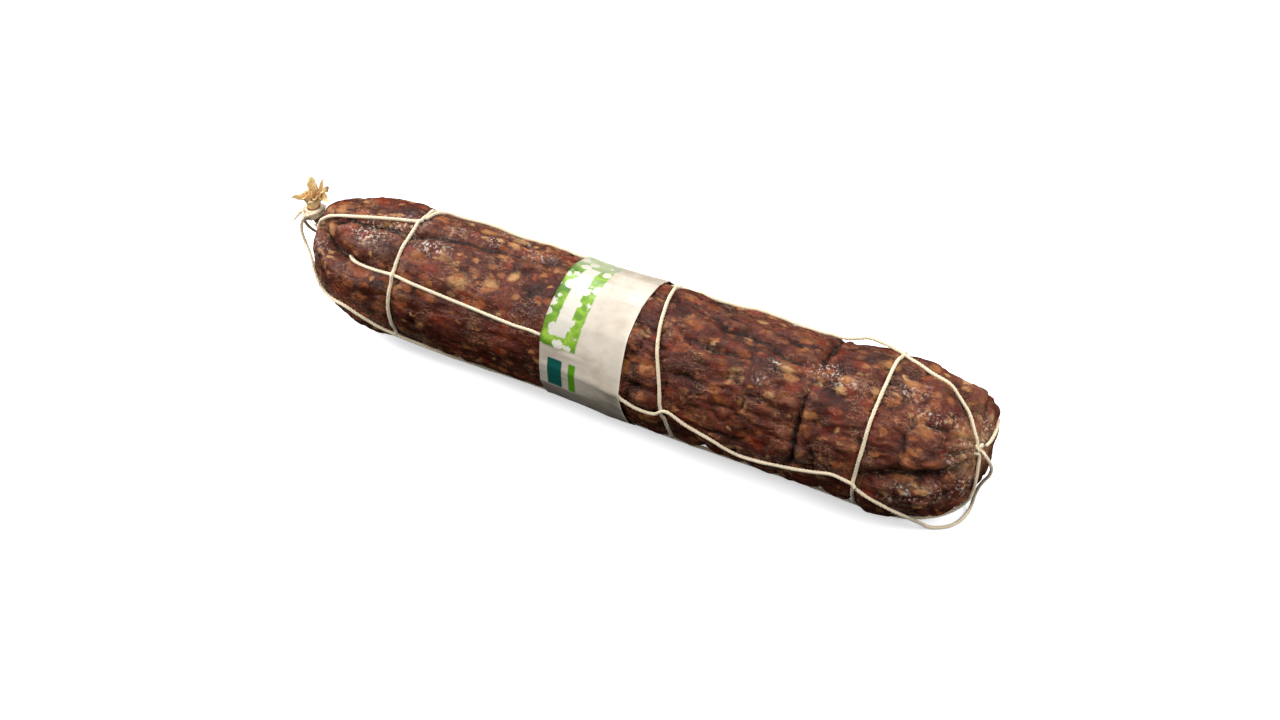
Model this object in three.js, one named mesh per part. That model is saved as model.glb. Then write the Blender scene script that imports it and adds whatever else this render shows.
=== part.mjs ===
// A whole cured sausage (salami), tied with butcher's twine and wrapped with a plain paper band.
//
// Millimetres, +Z up. The sausage lies on its flattened belly along X: the tied neck with the dry
// casing tuft is at -X, the closed fat end at +X. Angles around it run from the top (0) towards
// -Y (90) and the belly (180). Every piece is placed on the sausage's skin by a station along X,
// an angle and a lift above the skin.

import * as THREE from "three";

// ---- driving dimensions ----
const LEFT_X = -220; // where the skin closes at the neck
const RIGHT_X = 215; // where the skin closes at the fat end
const LEFT_DOME = 54; // length of the rounded end at the neck
const RIGHT_DOME = 52;
const LEFT_BLUNTNESS = 2.1; // exponents of the superellipses that round the two ends
const RIGHT_BLUNTNESS = 2.3;
const BELLY_SINK = 1.5; // how much of the belly is flattened by its own weight
const NECK_Z = 52; // height of the neck, above the middle of the sausage
const FAT_END_Z = 50;
const NECK_RADIUS = 4;
const BINDING_START = 6; // distance along the neck
const NECK_LENGTH = 12.8;
const NECK_TILT = THREE.MathUtils.degToRad(45); // the neck turns up from -X
const TWINE_RADIUS = 1;
const TWINE_LIFT = 1.7; // height of a twine's middle above the skin
const RING_LIFT = 1.5;
const RING_CLEARANCE = 2.6; // half the width of the groove that a ring presses into the belly
const HOP_LIFT = 4.1; // height of a strand's middle where it crosses over a ring
const HOP_LENGTH = 4.6; // half the length of that hop
const BAND_LEFT = -45;
const BAND_RIGHT = 7.5;
const BAND_THICKNESS = 0.5;
const BAND_LIFT = 3; // the paper band clears the strands that run under it
const BAND_BELLY_LIFT = 0.4; // and lies flat on the belly, where there are none
const AROUND = 44; // facets around the sausage

// [station, radius of the sausage]
const GIRTH = [
  [-220, 38.5],
  [-170, 39.5],
  [-120, 40],
  [-40, 40.5],
  [60, 41],
  [110, 41.5],
  [150, 43],
  [215, 42.5],
];

// Folds in the skin that run along the sausage: route of [station, angle in degrees, depth].
const FOLDS = [
  // under the top strand, from the neck to past the band
  [
    [-216, 26, 2], [-200, 17, 4], [-150, 13, 3.5], [-112, 3, 2.5], [-47, -7, 2], [30, -11, 1.5], [70, 3, 2],
    [107, 16, 2],
  ],
  // under the front strand, deepest beside the neck
  [[-216, 34, 3], [-200, 50, 6], [-181, 53, 5], [-140, 55, 2], [-60, 60, 0.8]],
  // the mouth of the fat end
  [[156, 86, 0.5], [178, 75, 4], [199, 70, 6], [212, 60, 5]],
  // the cleft over the fat end
  [[165, -24, 0.5], [188, -12, 3], [202, -1, 5], [212, 15, 4]],
  // low on the front, and the far side
  [[-214, 130, 2], [-190, 138, 3.5], [-120, 140, 1.5], [0, 141, 1]],
  [[-214, -120, 3], [-190, -100, 4], [-100, -95, 2.5], [20, -100, 1.5], [100, -92, 2]],
  [[160, -95, 1], [185, -85, 4], [212, -70, 5]],
];
const FOLD_HALF_WIDTH = 4.5;

// The constriction that an earlier turn of twine has left.
const WAIST_X = 116;
const WAIST_DEPTH = 2.2;
const WAIST_HALF_WIDTH = 4;

// Rings of twine round the sausage: station, how far the ring leans along X and the angle it leans to.
const RINGS = [
  { name: "twine_ring_neck_end", x: -147, lean: 1.5, leanAngle: 190 },
  { name: "twine_ring_beside_band", x: 25, lean: 12.5, leanAngle: 130 },
  { name: "twine_ring_fat_end", x: 151.5, lean: 4, leanAngle: 45 },
];

// Strands of twine along the sausage. A route is a list of [station, angle in degrees].
const TOP_NECK_STRAND = [
  [-214.5, 24], [-209, 17.5], [-201, 15.5], [-189, 13.5], [-175, 10], [-162, 5], [-151.5, 0],
];
const TOP_STRAND = [
  [-143, -22], [-132, -33], [-110, -38], [-60, -37], [-20, -36], [15, -38], [60, -38], [100, -39],
  [116, -39], [132, -39], [148, -39], [161, -28], [175, -16], [187, -10], [196, -5], [202, 1], [207.5, 11],
];
const FRONT_STRAND = [
  [-215, 38], [-205, 47], [-199, 51], [-192, 53], [-172, 55], [-146, 54], [-133, 55.5], [-100, 58],
  [-66, 60.5], [-45, 61], [-18, 76], [8, 89], [20, 94.5], [31, 94.5], [38, 89], [51, 95], [68, 102],
  [83, 107], [102, 105], [118, 100], [130, 96], [141, 92.5], [152.4, 94],
];
const BELLY_STRAND = [
  [-204, 108], [-197, 109], [-190, 105], [-180, 101], [-171, 104], [-160, 111], [-147, 118], [-128, 126],
  [-100, 134], [-60, 139], [-20, 140], [100, 140], [152, 141], [175, 146], [195, 150], [206, 146],
];
const BACK_STRAND = [
  [-196, -126], [-185, -126], [-147, -126], [-20, -128], [40, -128], [100, -126], [152, -122], [175, -115],
  [195, -100], [206, -76],
];

// Leads that run through the air from the neck's binding to the skin: [x, y, z].
const BELLY_LEAD = [
  [-228, -3, 52], [-229, -6, 47.5], [-226.5, -10, 43.8], [-221.5, -15, 41.3], [-216, -20.2, 39], [-210.4, -25, 35.8],
];
const BACK_LEAD = [
  [-228, 3, 52.6], [-228, 8, 45], [-224.6, 14.6, 35.4], [-217.6, 20.8, 26.4], [-208, 26.2, 18.8],
];

// Ends that run over the fat end to the knot: [station, angle in degrees].
const BELLY_TAIL = [[211, 136], [213.4, 116], [214, 84], [213.4, 58]];
const BACK_TAIL = [[211, -52], [213, -30], [213.6, -4], [213.6, 10]];

const BRIDGE_LIFT = 3.5; // the top strand spans the waist without touching it
const END_KNOT = [212.6, 32]; // station and angle in degrees
const END_KNOT_RADIUS = 2.6;

// The slack twine at the fat end: points from the front strand down to the table and up to the knot,
// [x, y, z].
const SLACK_ROUTE = [
  [156.4, -45.1, 36.2], [160, -45, 34.2], [164.6, -44.6, 32], [170.6, -43.4, 29.2], [176.6, -41.6, 26],
  [181.8, -38.6, 22], [186, -33.2, 15.8], [189.4, -27.2, 8.6], [193.2, -22.2, 2.8], [198, -18.6, 1.2],
  [203, -14.4, 1.2], [206.6, -7.6, 1.2], [208, 0.6, 1.8], [208.8, 2.6, 6.6], [209.9, 1.4, 14.2],
  [212.2, -0.8, 24], [214.9, -2, 31.4], [217.5, -3, 37.2], [218.9, -4.6, 43.6], [219, -7.6, 49.8],
  [218.2, -10, 54.8], [216.6, -11, 58.2],
];

const COLOUR = {
  skin: new THREE.Color("#6b3a28"),
  twine: new THREE.Color("#e3d6bd"),
  paper: new THREE.Color("#e9e6df"),
  dryCasing: new THREE.Color("#dcb878"),
};

// ---- the sausage's skin ----
const radians = THREE.MathUtils.degToRad;
const smoothstep = THREE.MathUtils.smoothstep;

// Reads a column of a table whose rows start with a station, by straight lines between the rows.
function readTable(table, x, column) {
  const last = table.length - 1;
  if (x <= table[0][0]) return table[0][column];
  if (x >= table[last][0]) return table[last][column];
  const row = table.findIndex((entry) => entry[0] > x);
  const [from, to] = [table[row - 1], table[row]];
  return THREE.MathUtils.mapLinear(x, from[0], to[0], from[column], to[column]);
}

// How full the section is at a station, from 0 at the closed ends to 1 between the domes.
function fullness(x) {
  const left = THREE.MathUtils.clamp((LEFT_X + LEFT_DOME - x) / LEFT_DOME, 0, 1);
  const right = THREE.MathUtils.clamp((x - RIGHT_X + RIGHT_DOME) / RIGHT_DOME, 0, 1);
  return (
    (1 - left ** LEFT_BLUNTNESS) ** (1 / LEFT_BLUNTNESS) *
    (1 - right ** RIGHT_BLUNTNESS) ** (1 / RIGHT_BLUNTNESS)
  );
}

function sectionCentreZ(x) {
  const resting = readTable(GIRTH, x, 1) - BELLY_SINK;
  const end = x < 0 ? NECK_Z : FAT_END_Z;
  return THREE.MathUtils.lerp(end, resting, fullness(x));
}

// The ring that passes a station at an angle, as a distance along X.
function ringStation(ring, angle) {
  return ring.x + ring.lean * Math.cos(angle - radians(ring.leanAngle));
}

// The lowest the skin may reach: it is pressed up where a ring or the band passes under the belly.
function floorUnder(x, angle) {
  const underRing = RINGS.some((ring) => Math.abs(x - ringStation(ring, angle)) < RING_CLEARANCE + 0.2);
  const underBand = x > BAND_LEFT - 1 && x < BAND_RIGHT + 1;
  return underRing ? 2.9 : underBand ? 1.4 : 0;
}

function foldDepth(x, angle, radius) {
  let depth = 0;
  for (const fold of FOLDS) {
    const [first, last] = [fold[0][0], fold[fold.length - 1][0]];
    if (x < first - 4 || x > last + 4) continue;
    const turn = angle - radians(readTable(fold, x, 1));
    const across = (Math.atan2(Math.sin(turn), Math.cos(turn)) * radius) / FOLD_HALF_WIDTH;
    depth = Math.max(depth, readTable(fold, x, 2) * Math.exp(-across * across));
  }
  return depth;
}

function waistDepth(x, angle) {
  const along = (x - WAIST_X) / WAIST_HALF_WIDTH;
  const facing = smoothstep(Math.cos(angle - radians(20)), -0.6, 0.6);
  return WAIST_DEPTH * facing * Math.exp(-along * along);
}

function sectionPoint(x, angle, radius) {
  return new THREE.Vector3(x, -radius * Math.sin(angle), sectionCentreZ(x) + radius * Math.cos(angle));
}

function pressedPoint(x, angle, radius) {
  const point = sectionPoint(x, angle, radius);
  point.z = Math.max(point.z, floorUnder(x, angle));
  return point;
}

function roundRadius(x) {
  return readTable(GIRTH, x, 1) * fullness(x);
}

function skinPoint(x, angle) {
  const round = roundRadius(x);
  const near = smoothstep(round, 6, 20); // the folds die out where they meet at an end
  const radius = round - near * (foldDepth(x, angle, round) + waistDepth(x, angle));
  return pressedPoint(x, angle, radius);
}

// The skin's outward direction, from two short steps along it on the unfolded shape.
function skinNormal(x, angle) {
  const step = 0.4;
  const smooth = (station, turn) => sectionPoint(station, turn, roundRadius(station));
  const before = THREE.MathUtils.clamp(x - step, LEFT_X + 0.01, RIGHT_X - 0.01);
  const after = THREE.MathUtils.clamp(x + step, LEFT_X + 0.01, RIGHT_X - 0.01);
  const along = smooth(after, angle).sub(smooth(before, angle));
  const around = smooth(x, angle + 0.02).sub(smooth(x, angle - 0.02));
  return around.cross(along).normalize();
}

// A point above the skin. The folds are bridged, as tight twine and paper bridge them.
function abovePoint(x, angle, lift) {
  return pressedPoint(x, angle, roundRadius(x)).addScaledVector(skinNormal(x, angle), lift);
}

// Stations of the skin's rows: closest where a ring or the band's edge presses into the belly.
function skinStations() {
  const pressed = [BAND_LEFT - 2, BAND_LEFT - 0.8, BAND_RIGHT + 0.8, BAND_RIGHT + 2];
  for (const ring of RINGS) {
    const crossings = [162, 180, 198].map((angle) => ringStation(ring, radians(angle)));
    const last = Math.max(...crossings) + 2 * RING_CLEARANCE;
    for (let x = Math.min(...crossings) - 2 * RING_CLEARANCE; x < last; x += RING_CLEARANCE) pressed.push(x);
  }
  const regular = [WAIST_X - 4, WAIST_X, WAIST_X + 4];
  for (let turn = 8; turn <= 90; turn += 10) {
    regular.push(LEFT_X + LEFT_DOME * (1 - Math.cos(radians(turn)) ** (2 / LEFT_BLUNTNESS)));
  }
  for (let x = LEFT_X + LEFT_DOME + 9; x < RIGHT_X - RIGHT_DOME; x += 11) regular.push(x);
  for (let turn = 9; turn <= 90; turn += 9) {
    regular.push(RIGHT_X - RIGHT_DOME * (1 - Math.cos(radians(turn)) ** (2 / RIGHT_BLUNTNESS)));
  }
  const clear = regular.filter((x) => pressed.every((other) => Math.abs(other - x) > 1.5));
  return [...pressed, ...clear].sort((a, b) => a - b);
}

// The neck is a short stalk that turns up from the skin's closed end.
const neckDirection = new THREE.Vector3(-Math.cos(NECK_TILT), 0, Math.sin(NECK_TILT));
const neckRoot = new THREE.Vector3(LEFT_X + 2, 0, NECK_Z);

function neckPoint(along, radius, angle) {
  const across = new THREE.Vector3(Math.sin(NECK_TILT), 0, Math.cos(NECK_TILT));
  return neckRoot
    .clone()
    .addScaledVector(neckDirection, along)
    .addScaledVector(across, radius * Math.cos(angle))
    .add(new THREE.Vector3(0, -radius * Math.sin(angle), 0));
}

// The sausage is a sphere's grid of vertices laid over the skin, row by row from the neck.
function sausageGeometry() {
  const rows = [
    () => neckPoint(NECK_LENGTH, 0, 0),
    (angle) => neckPoint(NECK_LENGTH, NECK_RADIUS, angle),
    (angle) => neckPoint(2, NECK_RADIUS, angle),
    ...skinStations().map((x) => (angle) => skinPoint(x, angle)),
    () => new THREE.Vector3(RIGHT_X, 0, FAT_END_Z),
  ];
  const geometry = new THREE.SphereGeometry(1, AROUND, rows.length - 1);
  const { position, uv } = geometry.attributes;
  for (let i = 0; i < position.count; i++) {
    const row = Math.round((1 - uv.getY(i)) * (rows.length - 1));
    const angle = (Math.round((1 - uv.getX(i)) * AROUND) % AROUND) * ((2 * Math.PI) / AROUND);
    const point = rows[row](angle);
    position.setXYZ(i, point.x, point.y, point.z);
  }
  geometry.computeVertexNormals();
  return geometry;
}

// ---- what is wrapped round it ----

// A closed band round the sausage: outline points are (lift above the skin, distance along X).
function wrappedBand(outline, stationAt, liftShare = () => 1) {
  const farOut = 100; // the outline is turned at this radius, then laid on the skin
  const profile = outline.map(([lift, along]) => new THREE.Vector2(farOut + lift, along));
  profile.push(profile[0].clone());
  const geometry = new THREE.LatheGeometry(profile, AROUND);
  const { position } = geometry.attributes;
  for (let i = 0; i < position.count; i++) {
    const [px, along, pz] = [position.getX(i), position.getY(i), position.getZ(i)];
    const turn = Math.round((Math.atan2(pz, px) / (2 * Math.PI)) * AROUND);
    const angle = (turn * 2 * Math.PI) / AROUND;
    const lift = (Math.hypot(px, pz) - farOut) * liftShare(angle);
    const point = abovePoint(stationAt(angle), angle, lift);
    position.setXYZ(i, point.x + along, point.y, point.z);
  }
  geometry.computeVertexNormals();
  return geometry;
}

function ringGeometry(ring) {
  const sides = 8;
  const outline = [];
  for (let side = 0; side < sides; side++) {
    const turn = (-side * 2 * Math.PI) / sides;
    outline.push([RING_LIFT + TWINE_RADIUS * Math.cos(turn), TWINE_RADIUS * Math.sin(turn)]);
  }
  return wrappedBand(outline, (angle) => ringStation(ring, angle));
}

function paperBandGeometry() {
  const half = (BAND_RIGHT - BAND_LEFT) / 2;
  const [inner, outer] = [BAND_LIFT, BAND_LIFT + BAND_THICKNESS];
  const outline = [[inner, 0], [inner, half], [outer, half], [outer, 0], [outer, -half], [inner, -half]];
  const belly = (BAND_BELLY_LIFT + BAND_THICKNESS) / outer;
  const share = (angle) => {
    const fromBelly = Math.abs(THREE.MathUtils.euclideanModulo(angle, 2 * Math.PI) - Math.PI);
    return THREE.MathUtils.lerp(belly, 1, smoothstep(fromBelly, radians(17), radians(33)));
  };
  return wrappedBand(outline, () => (BAND_LEFT + BAND_RIGHT) / 2, share);
}

// ---- the twine along it ----

// Height of a strand's middle: it hops over each ring, and may stand off the skin elsewhere.
function strandLift(x, angle, extraLift) {
  let lift = TWINE_LIFT + extraLift(x);
  for (const ring of RINGS) {
    const away = Math.abs(x - ringStation(ring, angle));
    lift = Math.max(lift, THREE.MathUtils.lerp(HOP_LIFT, TWINE_LIFT, smoothstep(away, 0.3, HOP_LENGTH)));
  }
  return lift;
}

// Stations of a strand's steps: closest on the domes and where it hops over a ring.
function strandStations(route) {
  const [start, end] = [route[0][0], route[route.length - 1][0]];
  const crossings = RINGS.map((ring) => ringStation(ring, radians(readTable(route, ring.x, 1))));
  const crossed = crossings.filter((x) => x > start + HOP_LENGTH && x < end - 1);
  const hops = crossed.flatMap((x) => [-1, -0.5, 0, 0.5, 1].map((share) => x + share * HOP_LENGTH));
  const count = Math.max(14, Math.round((end - start) / 6.5));
  const regular = [];
  for (let i = 0; i <= count; i++) {
    const eased = 0.5 - 0.5 * Math.cos((Math.PI * i) / count);
    regular.push(THREE.MathUtils.lerp(start, end, THREE.MathUtils.lerp(i / count, eased, 0.7)));
  }
  const clear = regular.filter((x) => crossed.every((other) => Math.abs(other - x) > HOP_LENGTH + 1));
  return [...clear, ...hops.filter((x) => x < end)].sort((a, b) => a - b);
}

// A curve whose steps fall on its own points, however they are spaced.
class SteppedCurve extends THREE.CatmullRomCurve3 {
  getUtoTmapping(share) {
    return share;
  }
}

function twineGeometry(points) {
  const sides = 8;
  const section = new THREE.Shape();
  section.moveTo(TWINE_RADIUS, 0);
  for (let side = 1; side < sides; side++) {
    const turn = (side * 2 * Math.PI) / sides;
    section.lineTo(TWINE_RADIUS * Math.cos(turn), TWINE_RADIUS * Math.sin(turn));
  }
  section.closePath();
  return new THREE.ExtrudeGeometry(section, {
    steps: points.length - 1,
    bevelEnabled: false,
    extrudePath: new SteppedCurve(points, false, "centripetal"),
  });
}

function strandGeometry(route, { lead = [], tail = [], extraLift = () => 0 } = {}) {
  const points = strandStations(route).map((x) => {
    const angle = radians(readTable(route, x, 1));
    return abovePoint(x, angle, strandLift(x, angle, extraLift));
  });
  const before = lead.map(([x, y, z]) => new THREE.Vector3(x, y, z));
  const after = tail.map(([x, angle]) => abovePoint(x, radians(angle), TWINE_LIFT));
  return twineGeometry([...before, ...points, ...after]);
}

const overWaist = (x) => BRIDGE_LIFT * Math.exp(-(((x - 130) / 14) ** 2));

// ---- the neck's binding and tuft ----

// Four turns of twine wound round the neck, one on the other, as one ribbed collar.
function bindingGeometry() {
  const turns = 4;
  const inner = NECK_RADIUS + 0.4;
  const outline = [new THREE.Vector2(inner, 0)];
  for (let turn = 0; turn < turns; turn++) {
    for (const share of [0.1, 0.5, 0.9]) {
      const bulge = share === 0.5 ? 2 * TWINE_RADIUS : 1.5 * TWINE_RADIUS;
      outline.push(new THREE.Vector2(inner + bulge, (turn + share) * 1.45));
    }
  }
  outline.push(new THREE.Vector2(inner, turns * 1.45), outline[0].clone());
  return new THREE.LatheGeometry(outline, 20);
}

// The dry end of the casing, gathered by the binding, bent upright above it and flared into five
// ragged flaps. The crumpled film between them is taken as solid.
const TUFT_HEART = new THREE.Vector3(-225.5, 1.5, 73);
const TUFT_DIRECTION = new THREE.Vector3(0.1, 0.1, 1).normalize();
const TUFT_STALK = 12; // length of the bent part, from the neck to the heart

function tuftGeometry() {
  const profile = [[0, 0], [3.4, 0], [3.4, 3], [4.2, 6], [6.8, 9], [11, 12], [6, 13], [0, 11.6]];
  const flaps = 5;
  const flapRadius = 9.5; // the flaps show from this radius out
  const base = neckRoot.clone().addScaledVector(neckDirection, NECK_LENGTH + 0.3);
  const spine = new THREE.CubicBezierCurve3(
    base,
    base.clone().addScaledVector(neckDirection, 6),
    TUFT_HEART.clone().addScaledVector(TUFT_DIRECTION, -4),
    TUFT_HEART,
  );
  const outline = profile.map(([radius, along]) => new THREE.Vector2(radius, along));
  const geometry = new THREE.LatheGeometry(outline, 30);
  const { position } = geometry.attributes;
  const up = new THREE.Vector3(0, 1, 0);
  for (let i = 0; i < position.count; i++) {
    const [px, along, pz] = [position.getX(i), position.getY(i), position.getZ(i)];
    const angle = Math.atan2(pz, px);
    const flare = smoothstep(along, 4, 12) * smoothstep(Math.hypot(px, pz), 0, flapRadius);
    const ruffle = 1 + 0.22 * flare * Math.cos(flaps * angle);
    const reach = along + 2.4 * flare * Math.cos(flaps * angle + 0.6);
    const share = Math.min(reach / TUFT_STALK, 1);
    const heading = spine.getTangent(share);
    const point = new THREE.Vector3(px * ruffle, 0, pz * ruffle)
      .applyQuaternion(new THREE.Quaternion().setFromUnitVectors(up, heading))
      .add(spine.getPoint(share))
      .addScaledVector(TUFT_DIRECTION, Math.max(reach - TUFT_STALK, 0));
    position.setXYZ(i, point.x, point.y, point.z);
  }
  geometry.computeVertexNormals();
  return geometry;
}

// A small knot where the strands cross over the fat end.
function endKnotGeometry() {
  const geometry = new THREE.SphereGeometry(END_KNOT_RADIUS, 12, 8);
  geometry.scale(0.7, 1, 1);
  return geometry;
}

// ---- the parts ----
function material(colour, roughness) {
  return new THREE.MeshStandardMaterial({ color: colour, roughness, metalness: 0 });
}

const materials = {
  skin: material(COLOUR.skin, 0.5),
  twine: material(COLOUR.twine, 0.9),
  paper: material(COLOUR.paper, 0.45),
  dryCasing: material(COLOUR.dryCasing, 0.55),
};

function part(name, geometry, surface) {
  const mesh = new THREE.Mesh(geometry, surface);
  mesh.name = name;
  return mesh;
}

// A piece turned about +Y is stood on the neck, this far along it.
function onNeck(mesh, along) {
  mesh.position.copy(neckRoot).addScaledVector(neckDirection, along);
  mesh.quaternion.setFromUnitVectors(new THREE.Vector3(0, 1, 0), neckDirection);
  return mesh;
}

function buildSausage() {
  const sausage = new THREE.Group();
  sausage.add(part("sausage", sausageGeometry(), materials.skin));
  sausage.add(part("paper_band", paperBandGeometry(), materials.paper));
  for (const ring of RINGS) sausage.add(part(ring.name, ringGeometry(ring), materials.twine));

  sausage.add(part("twine_top_at_neck", strandGeometry(TOP_NECK_STRAND), materials.twine));
  sausage.add(part("twine_top", strandGeometry(TOP_STRAND, { extraLift: overWaist }), materials.twine));
  sausage.add(part("twine_front", strandGeometry(FRONT_STRAND), materials.twine));
  const belly = strandGeometry(BELLY_STRAND, { lead: BELLY_LEAD, tail: BELLY_TAIL });
  sausage.add(part("twine_belly", belly, materials.twine));
  const back = strandGeometry(BACK_STRAND, { lead: BACK_LEAD, tail: BACK_TAIL });
  sausage.add(part("twine_back", back, materials.twine));

  const slack = SLACK_ROUTE.map(([x, y, z]) => new THREE.Vector3(x, y, z));
  sausage.add(part("twine_slack_loop", twineGeometry(slack), materials.twine));

  sausage.add(onNeck(part("neck_binding", bindingGeometry(), materials.twine), BINDING_START));
  sausage.add(part("casing_tuft", tuftGeometry(), materials.dryCasing));

  const knot = part("twine_end_knot", endKnotGeometry(), materials.twine);
  knot.position.copy(abovePoint(END_KNOT[0], radians(END_KNOT[1]), END_KNOT_RADIUS));
  sausage.add(knot);
  return sausage;
}

const sausage = buildSausage();

// The origin is on the resting surface, under the middle of everything but the slack twine.
const extent = new THREE.Box3();
for (const mesh of sausage.children) {
  if (mesh.name !== "twine_slack_loop") extent.expandByObject(mesh);
}
const middle = extent.getCenter(new THREE.Vector3());
sausage.position.set(-middle.x, -middle.y, -extent.min.z);

export default sausage;
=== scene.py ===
"""The looks of a whole cured sausage, tied with twine and wrapped with a plain paper band.

Lengths are in millimetres until a mesh is made, which is in metres. The sausage lies along X on its
flattened belly. A place on its skin is a station along X, counted from the middle, and an angle in
degrees from the top (0) towards the side that is seen (90) and the belly (180).
"""

import math

import bpy
import numpy as np
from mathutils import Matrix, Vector


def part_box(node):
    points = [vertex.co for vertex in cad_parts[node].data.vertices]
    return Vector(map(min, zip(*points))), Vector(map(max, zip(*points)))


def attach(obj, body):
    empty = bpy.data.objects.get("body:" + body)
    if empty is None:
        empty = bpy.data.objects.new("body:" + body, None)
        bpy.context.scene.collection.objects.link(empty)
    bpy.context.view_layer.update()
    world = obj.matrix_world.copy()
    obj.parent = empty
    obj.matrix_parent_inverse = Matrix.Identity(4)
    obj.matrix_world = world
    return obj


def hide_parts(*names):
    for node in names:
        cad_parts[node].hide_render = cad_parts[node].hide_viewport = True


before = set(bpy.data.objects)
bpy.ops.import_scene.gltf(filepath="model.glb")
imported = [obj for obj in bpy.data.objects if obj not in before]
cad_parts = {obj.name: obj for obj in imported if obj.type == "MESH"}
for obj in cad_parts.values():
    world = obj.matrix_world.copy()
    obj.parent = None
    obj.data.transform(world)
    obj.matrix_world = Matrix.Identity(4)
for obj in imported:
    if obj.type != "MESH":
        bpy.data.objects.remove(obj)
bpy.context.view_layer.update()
MM = 0.001

# ---- driving dimensions, as in the frame ----
LEFT_X, RIGHT_X = -220.0, 215.0  # where the skin closes at the neck and at the fat end
LEFT_DOME, RIGHT_DOME = 54.0, 52.0
LEFT_BLUNTNESS, RIGHT_BLUNTNESS = 2.1, 2.3
BELLY_SINK = 1.5
NECK_Z, FAT_END_Z = 52.0, 50.0
NECK_LENGTH = 12.8
NECK_RADIUS = 4.0
BINDING_START = 6.0
TWINE_RADIUS = 1.0
GIRTH = [(-220, 38.5), (-170, 39.5), (-120, 40), (-40, 40.5), (60, 41), (110, 41.5), (150, 43), (215, 42.5)]
BAND_LEFT, BAND_RIGHT = -45.0, 7.5
LOWEST = 0.02  # nothing reaches lower than this over the floor
TWINE_LOWEST = TWINE_RADIUS + 0.05  # the same for the middle of a twine

low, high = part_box("sausage")
ORIGIN = np.array([high.x / MM - RIGHT_X, (low.y + high.y) / 2 / MM, 0.0])  # the middle, in the frame

# Rings of twine: for each node its station, how far it leans along X and the angle it leans to.
RINGS = {
    "twine_ring_neck_end": (-147.0, 1.5, 190.0),
    "twine_ring_beside_band": (25.0, 12.5, 130.0),
    "twine_ring_fat_end": (151.5, 4.0, 45.0),
}

# ---- camera, at the photograph's angle ----
CAMERA_AZIMUTH, CAMERA_ELEVATION = math.radians(27.5), math.radians(42)
CAMERA_DISTANCE = 1.29
CAMERA_AIM = Vector((ORIGIN[0] * MM, ORIGIN[1] * MM, 0.03))


def make_camera():
    camera = bpy.data.objects.new("camera", bpy.data.cameras.new("camera"))
    bpy.context.scene.collection.objects.link(camera)
    camera.data.lens = 61.9
    camera.data.sensor_width = 36
    flat = math.cos(CAMERA_ELEVATION)
    aside, forward = math.sin(CAMERA_AZIMUTH) * flat, math.cos(CAMERA_AZIMUTH) * flat
    back = Vector((aside, -forward, math.sin(CAMERA_ELEVATION)))
    camera.location = CAMERA_AIM + back * CAMERA_DISTANCE
    camera.rotation_euler = (-back).to_track_quat("-Z", "Y").to_euler()
    bpy.context.scene.camera = camera


make_camera()


# ---- meshes ----
def make_mesh(name, points, faces, node, slot, material, **attributes):
    """A piece from points in millimetres. Each attribute is one number per point."""
    mesh = bpy.data.meshes.new(name)
    placed = (np.asarray(points, float) + ORIGIN) * MM
    mesh.from_pydata(placed.tolist(), [], np.asarray(faces, dtype=object).tolist())
    mesh.shade_smooth()
    for key, values in attributes.items():
        numbers = np.asarray(values, np.float32).ravel()
        mesh.attributes.new(key, "FLOAT", "POINT").data.foreach_set("value", numbers)
    piece = bpy.data.objects.new(name, mesh)
    bpy.context.scene.collection.objects.link(piece)
    mesh.materials.append(material)
    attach(piece, "root")
    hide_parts(node)
    return piece


def grid_faces(rows, columns, wrap=True):
    """Quads over a grid of points, row by row; wrap joins the last column to the first."""
    row, column = np.meshgrid(np.arange(rows - 1), np.arange(columns if wrap else columns - 1), indexing="ij")
    after = (column + 1) % columns
    here, below = row * columns, (row + 1) * columns
    return np.stack([here + column, here + after, below + after, below + column], axis=-1).reshape(-1, 4)


# ---- noise ----
def hashed(cell, seed):
    """A number from 0 to 1 for each whole-numbered cell, always the same for a seed."""
    mixed = cell[..., 0] * 374761393 + cell[..., 1] * 668265263 + cell[..., 2] * 2147483647
    mixed = mixed + seed * 1274126177
    mixed = (mixed ^ (mixed >> 13)) * 1274126177 & 0xFFFFFFFF
    mixed = (mixed ^ (mixed >> 16)) * 2246822519 & 0xFFFFFFFF
    return ((mixed ^ (mixed >> 15)) & 0xFFFFFF) / 0xFFFFFF


def smooth_noise(points, size, seed):
    """Smooth noise from -1 to 1 with blobs of about the given size."""
    scaled = np.asarray(points, float) / size
    cell = np.floor(scaled).astype(np.int64)
    share = scaled - cell
    share = share * share * share * (share * (share * 6 - 15) + 10)
    total = np.zeros(scaled.shape[:-1])
    for corner in np.ndindex(2, 2, 2):
        weight = np.prod(np.where(np.array(corner), share, 1 - share), axis=-1)
        total += weight * hashed(cell + np.array(corner), seed)
    return 2 * total - 1


def noise_vector(points, size, seed):
    """Smooth noise along each axis."""
    return np.stack([smooth_noise(points, size, seed + axis) for axis in range(3)], axis=-1)


def cells(points, size, seed):
    """Distance to the nearest and the second nearest of scattered points, in units of the cell size."""
    scaled = np.asarray(points, float) / size
    cell = np.floor(scaled).astype(np.int64)
    nearest = np.full(scaled.shape[:-1], 9.0)
    second = nearest.copy()
    for step in np.ndindex(3, 3, 3):
        other = cell + np.array(step) - 1
        centre = other + np.stack([hashed(other, seed + axis) for axis in range(3)], axis=-1)
        distance = np.linalg.norm(scaled - centre, axis=-1)
        second = np.minimum(second, np.maximum(nearest, distance))
        nearest = np.minimum(nearest, distance)
    return nearest, second


def ease(value, start, end):
    share = np.clip((value - start) / (end - start), 0, 1)
    return share * share * (3 - 2 * share)


def wrapped(angle):
    return np.arctan2(np.sin(angle), np.cos(angle))


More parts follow.
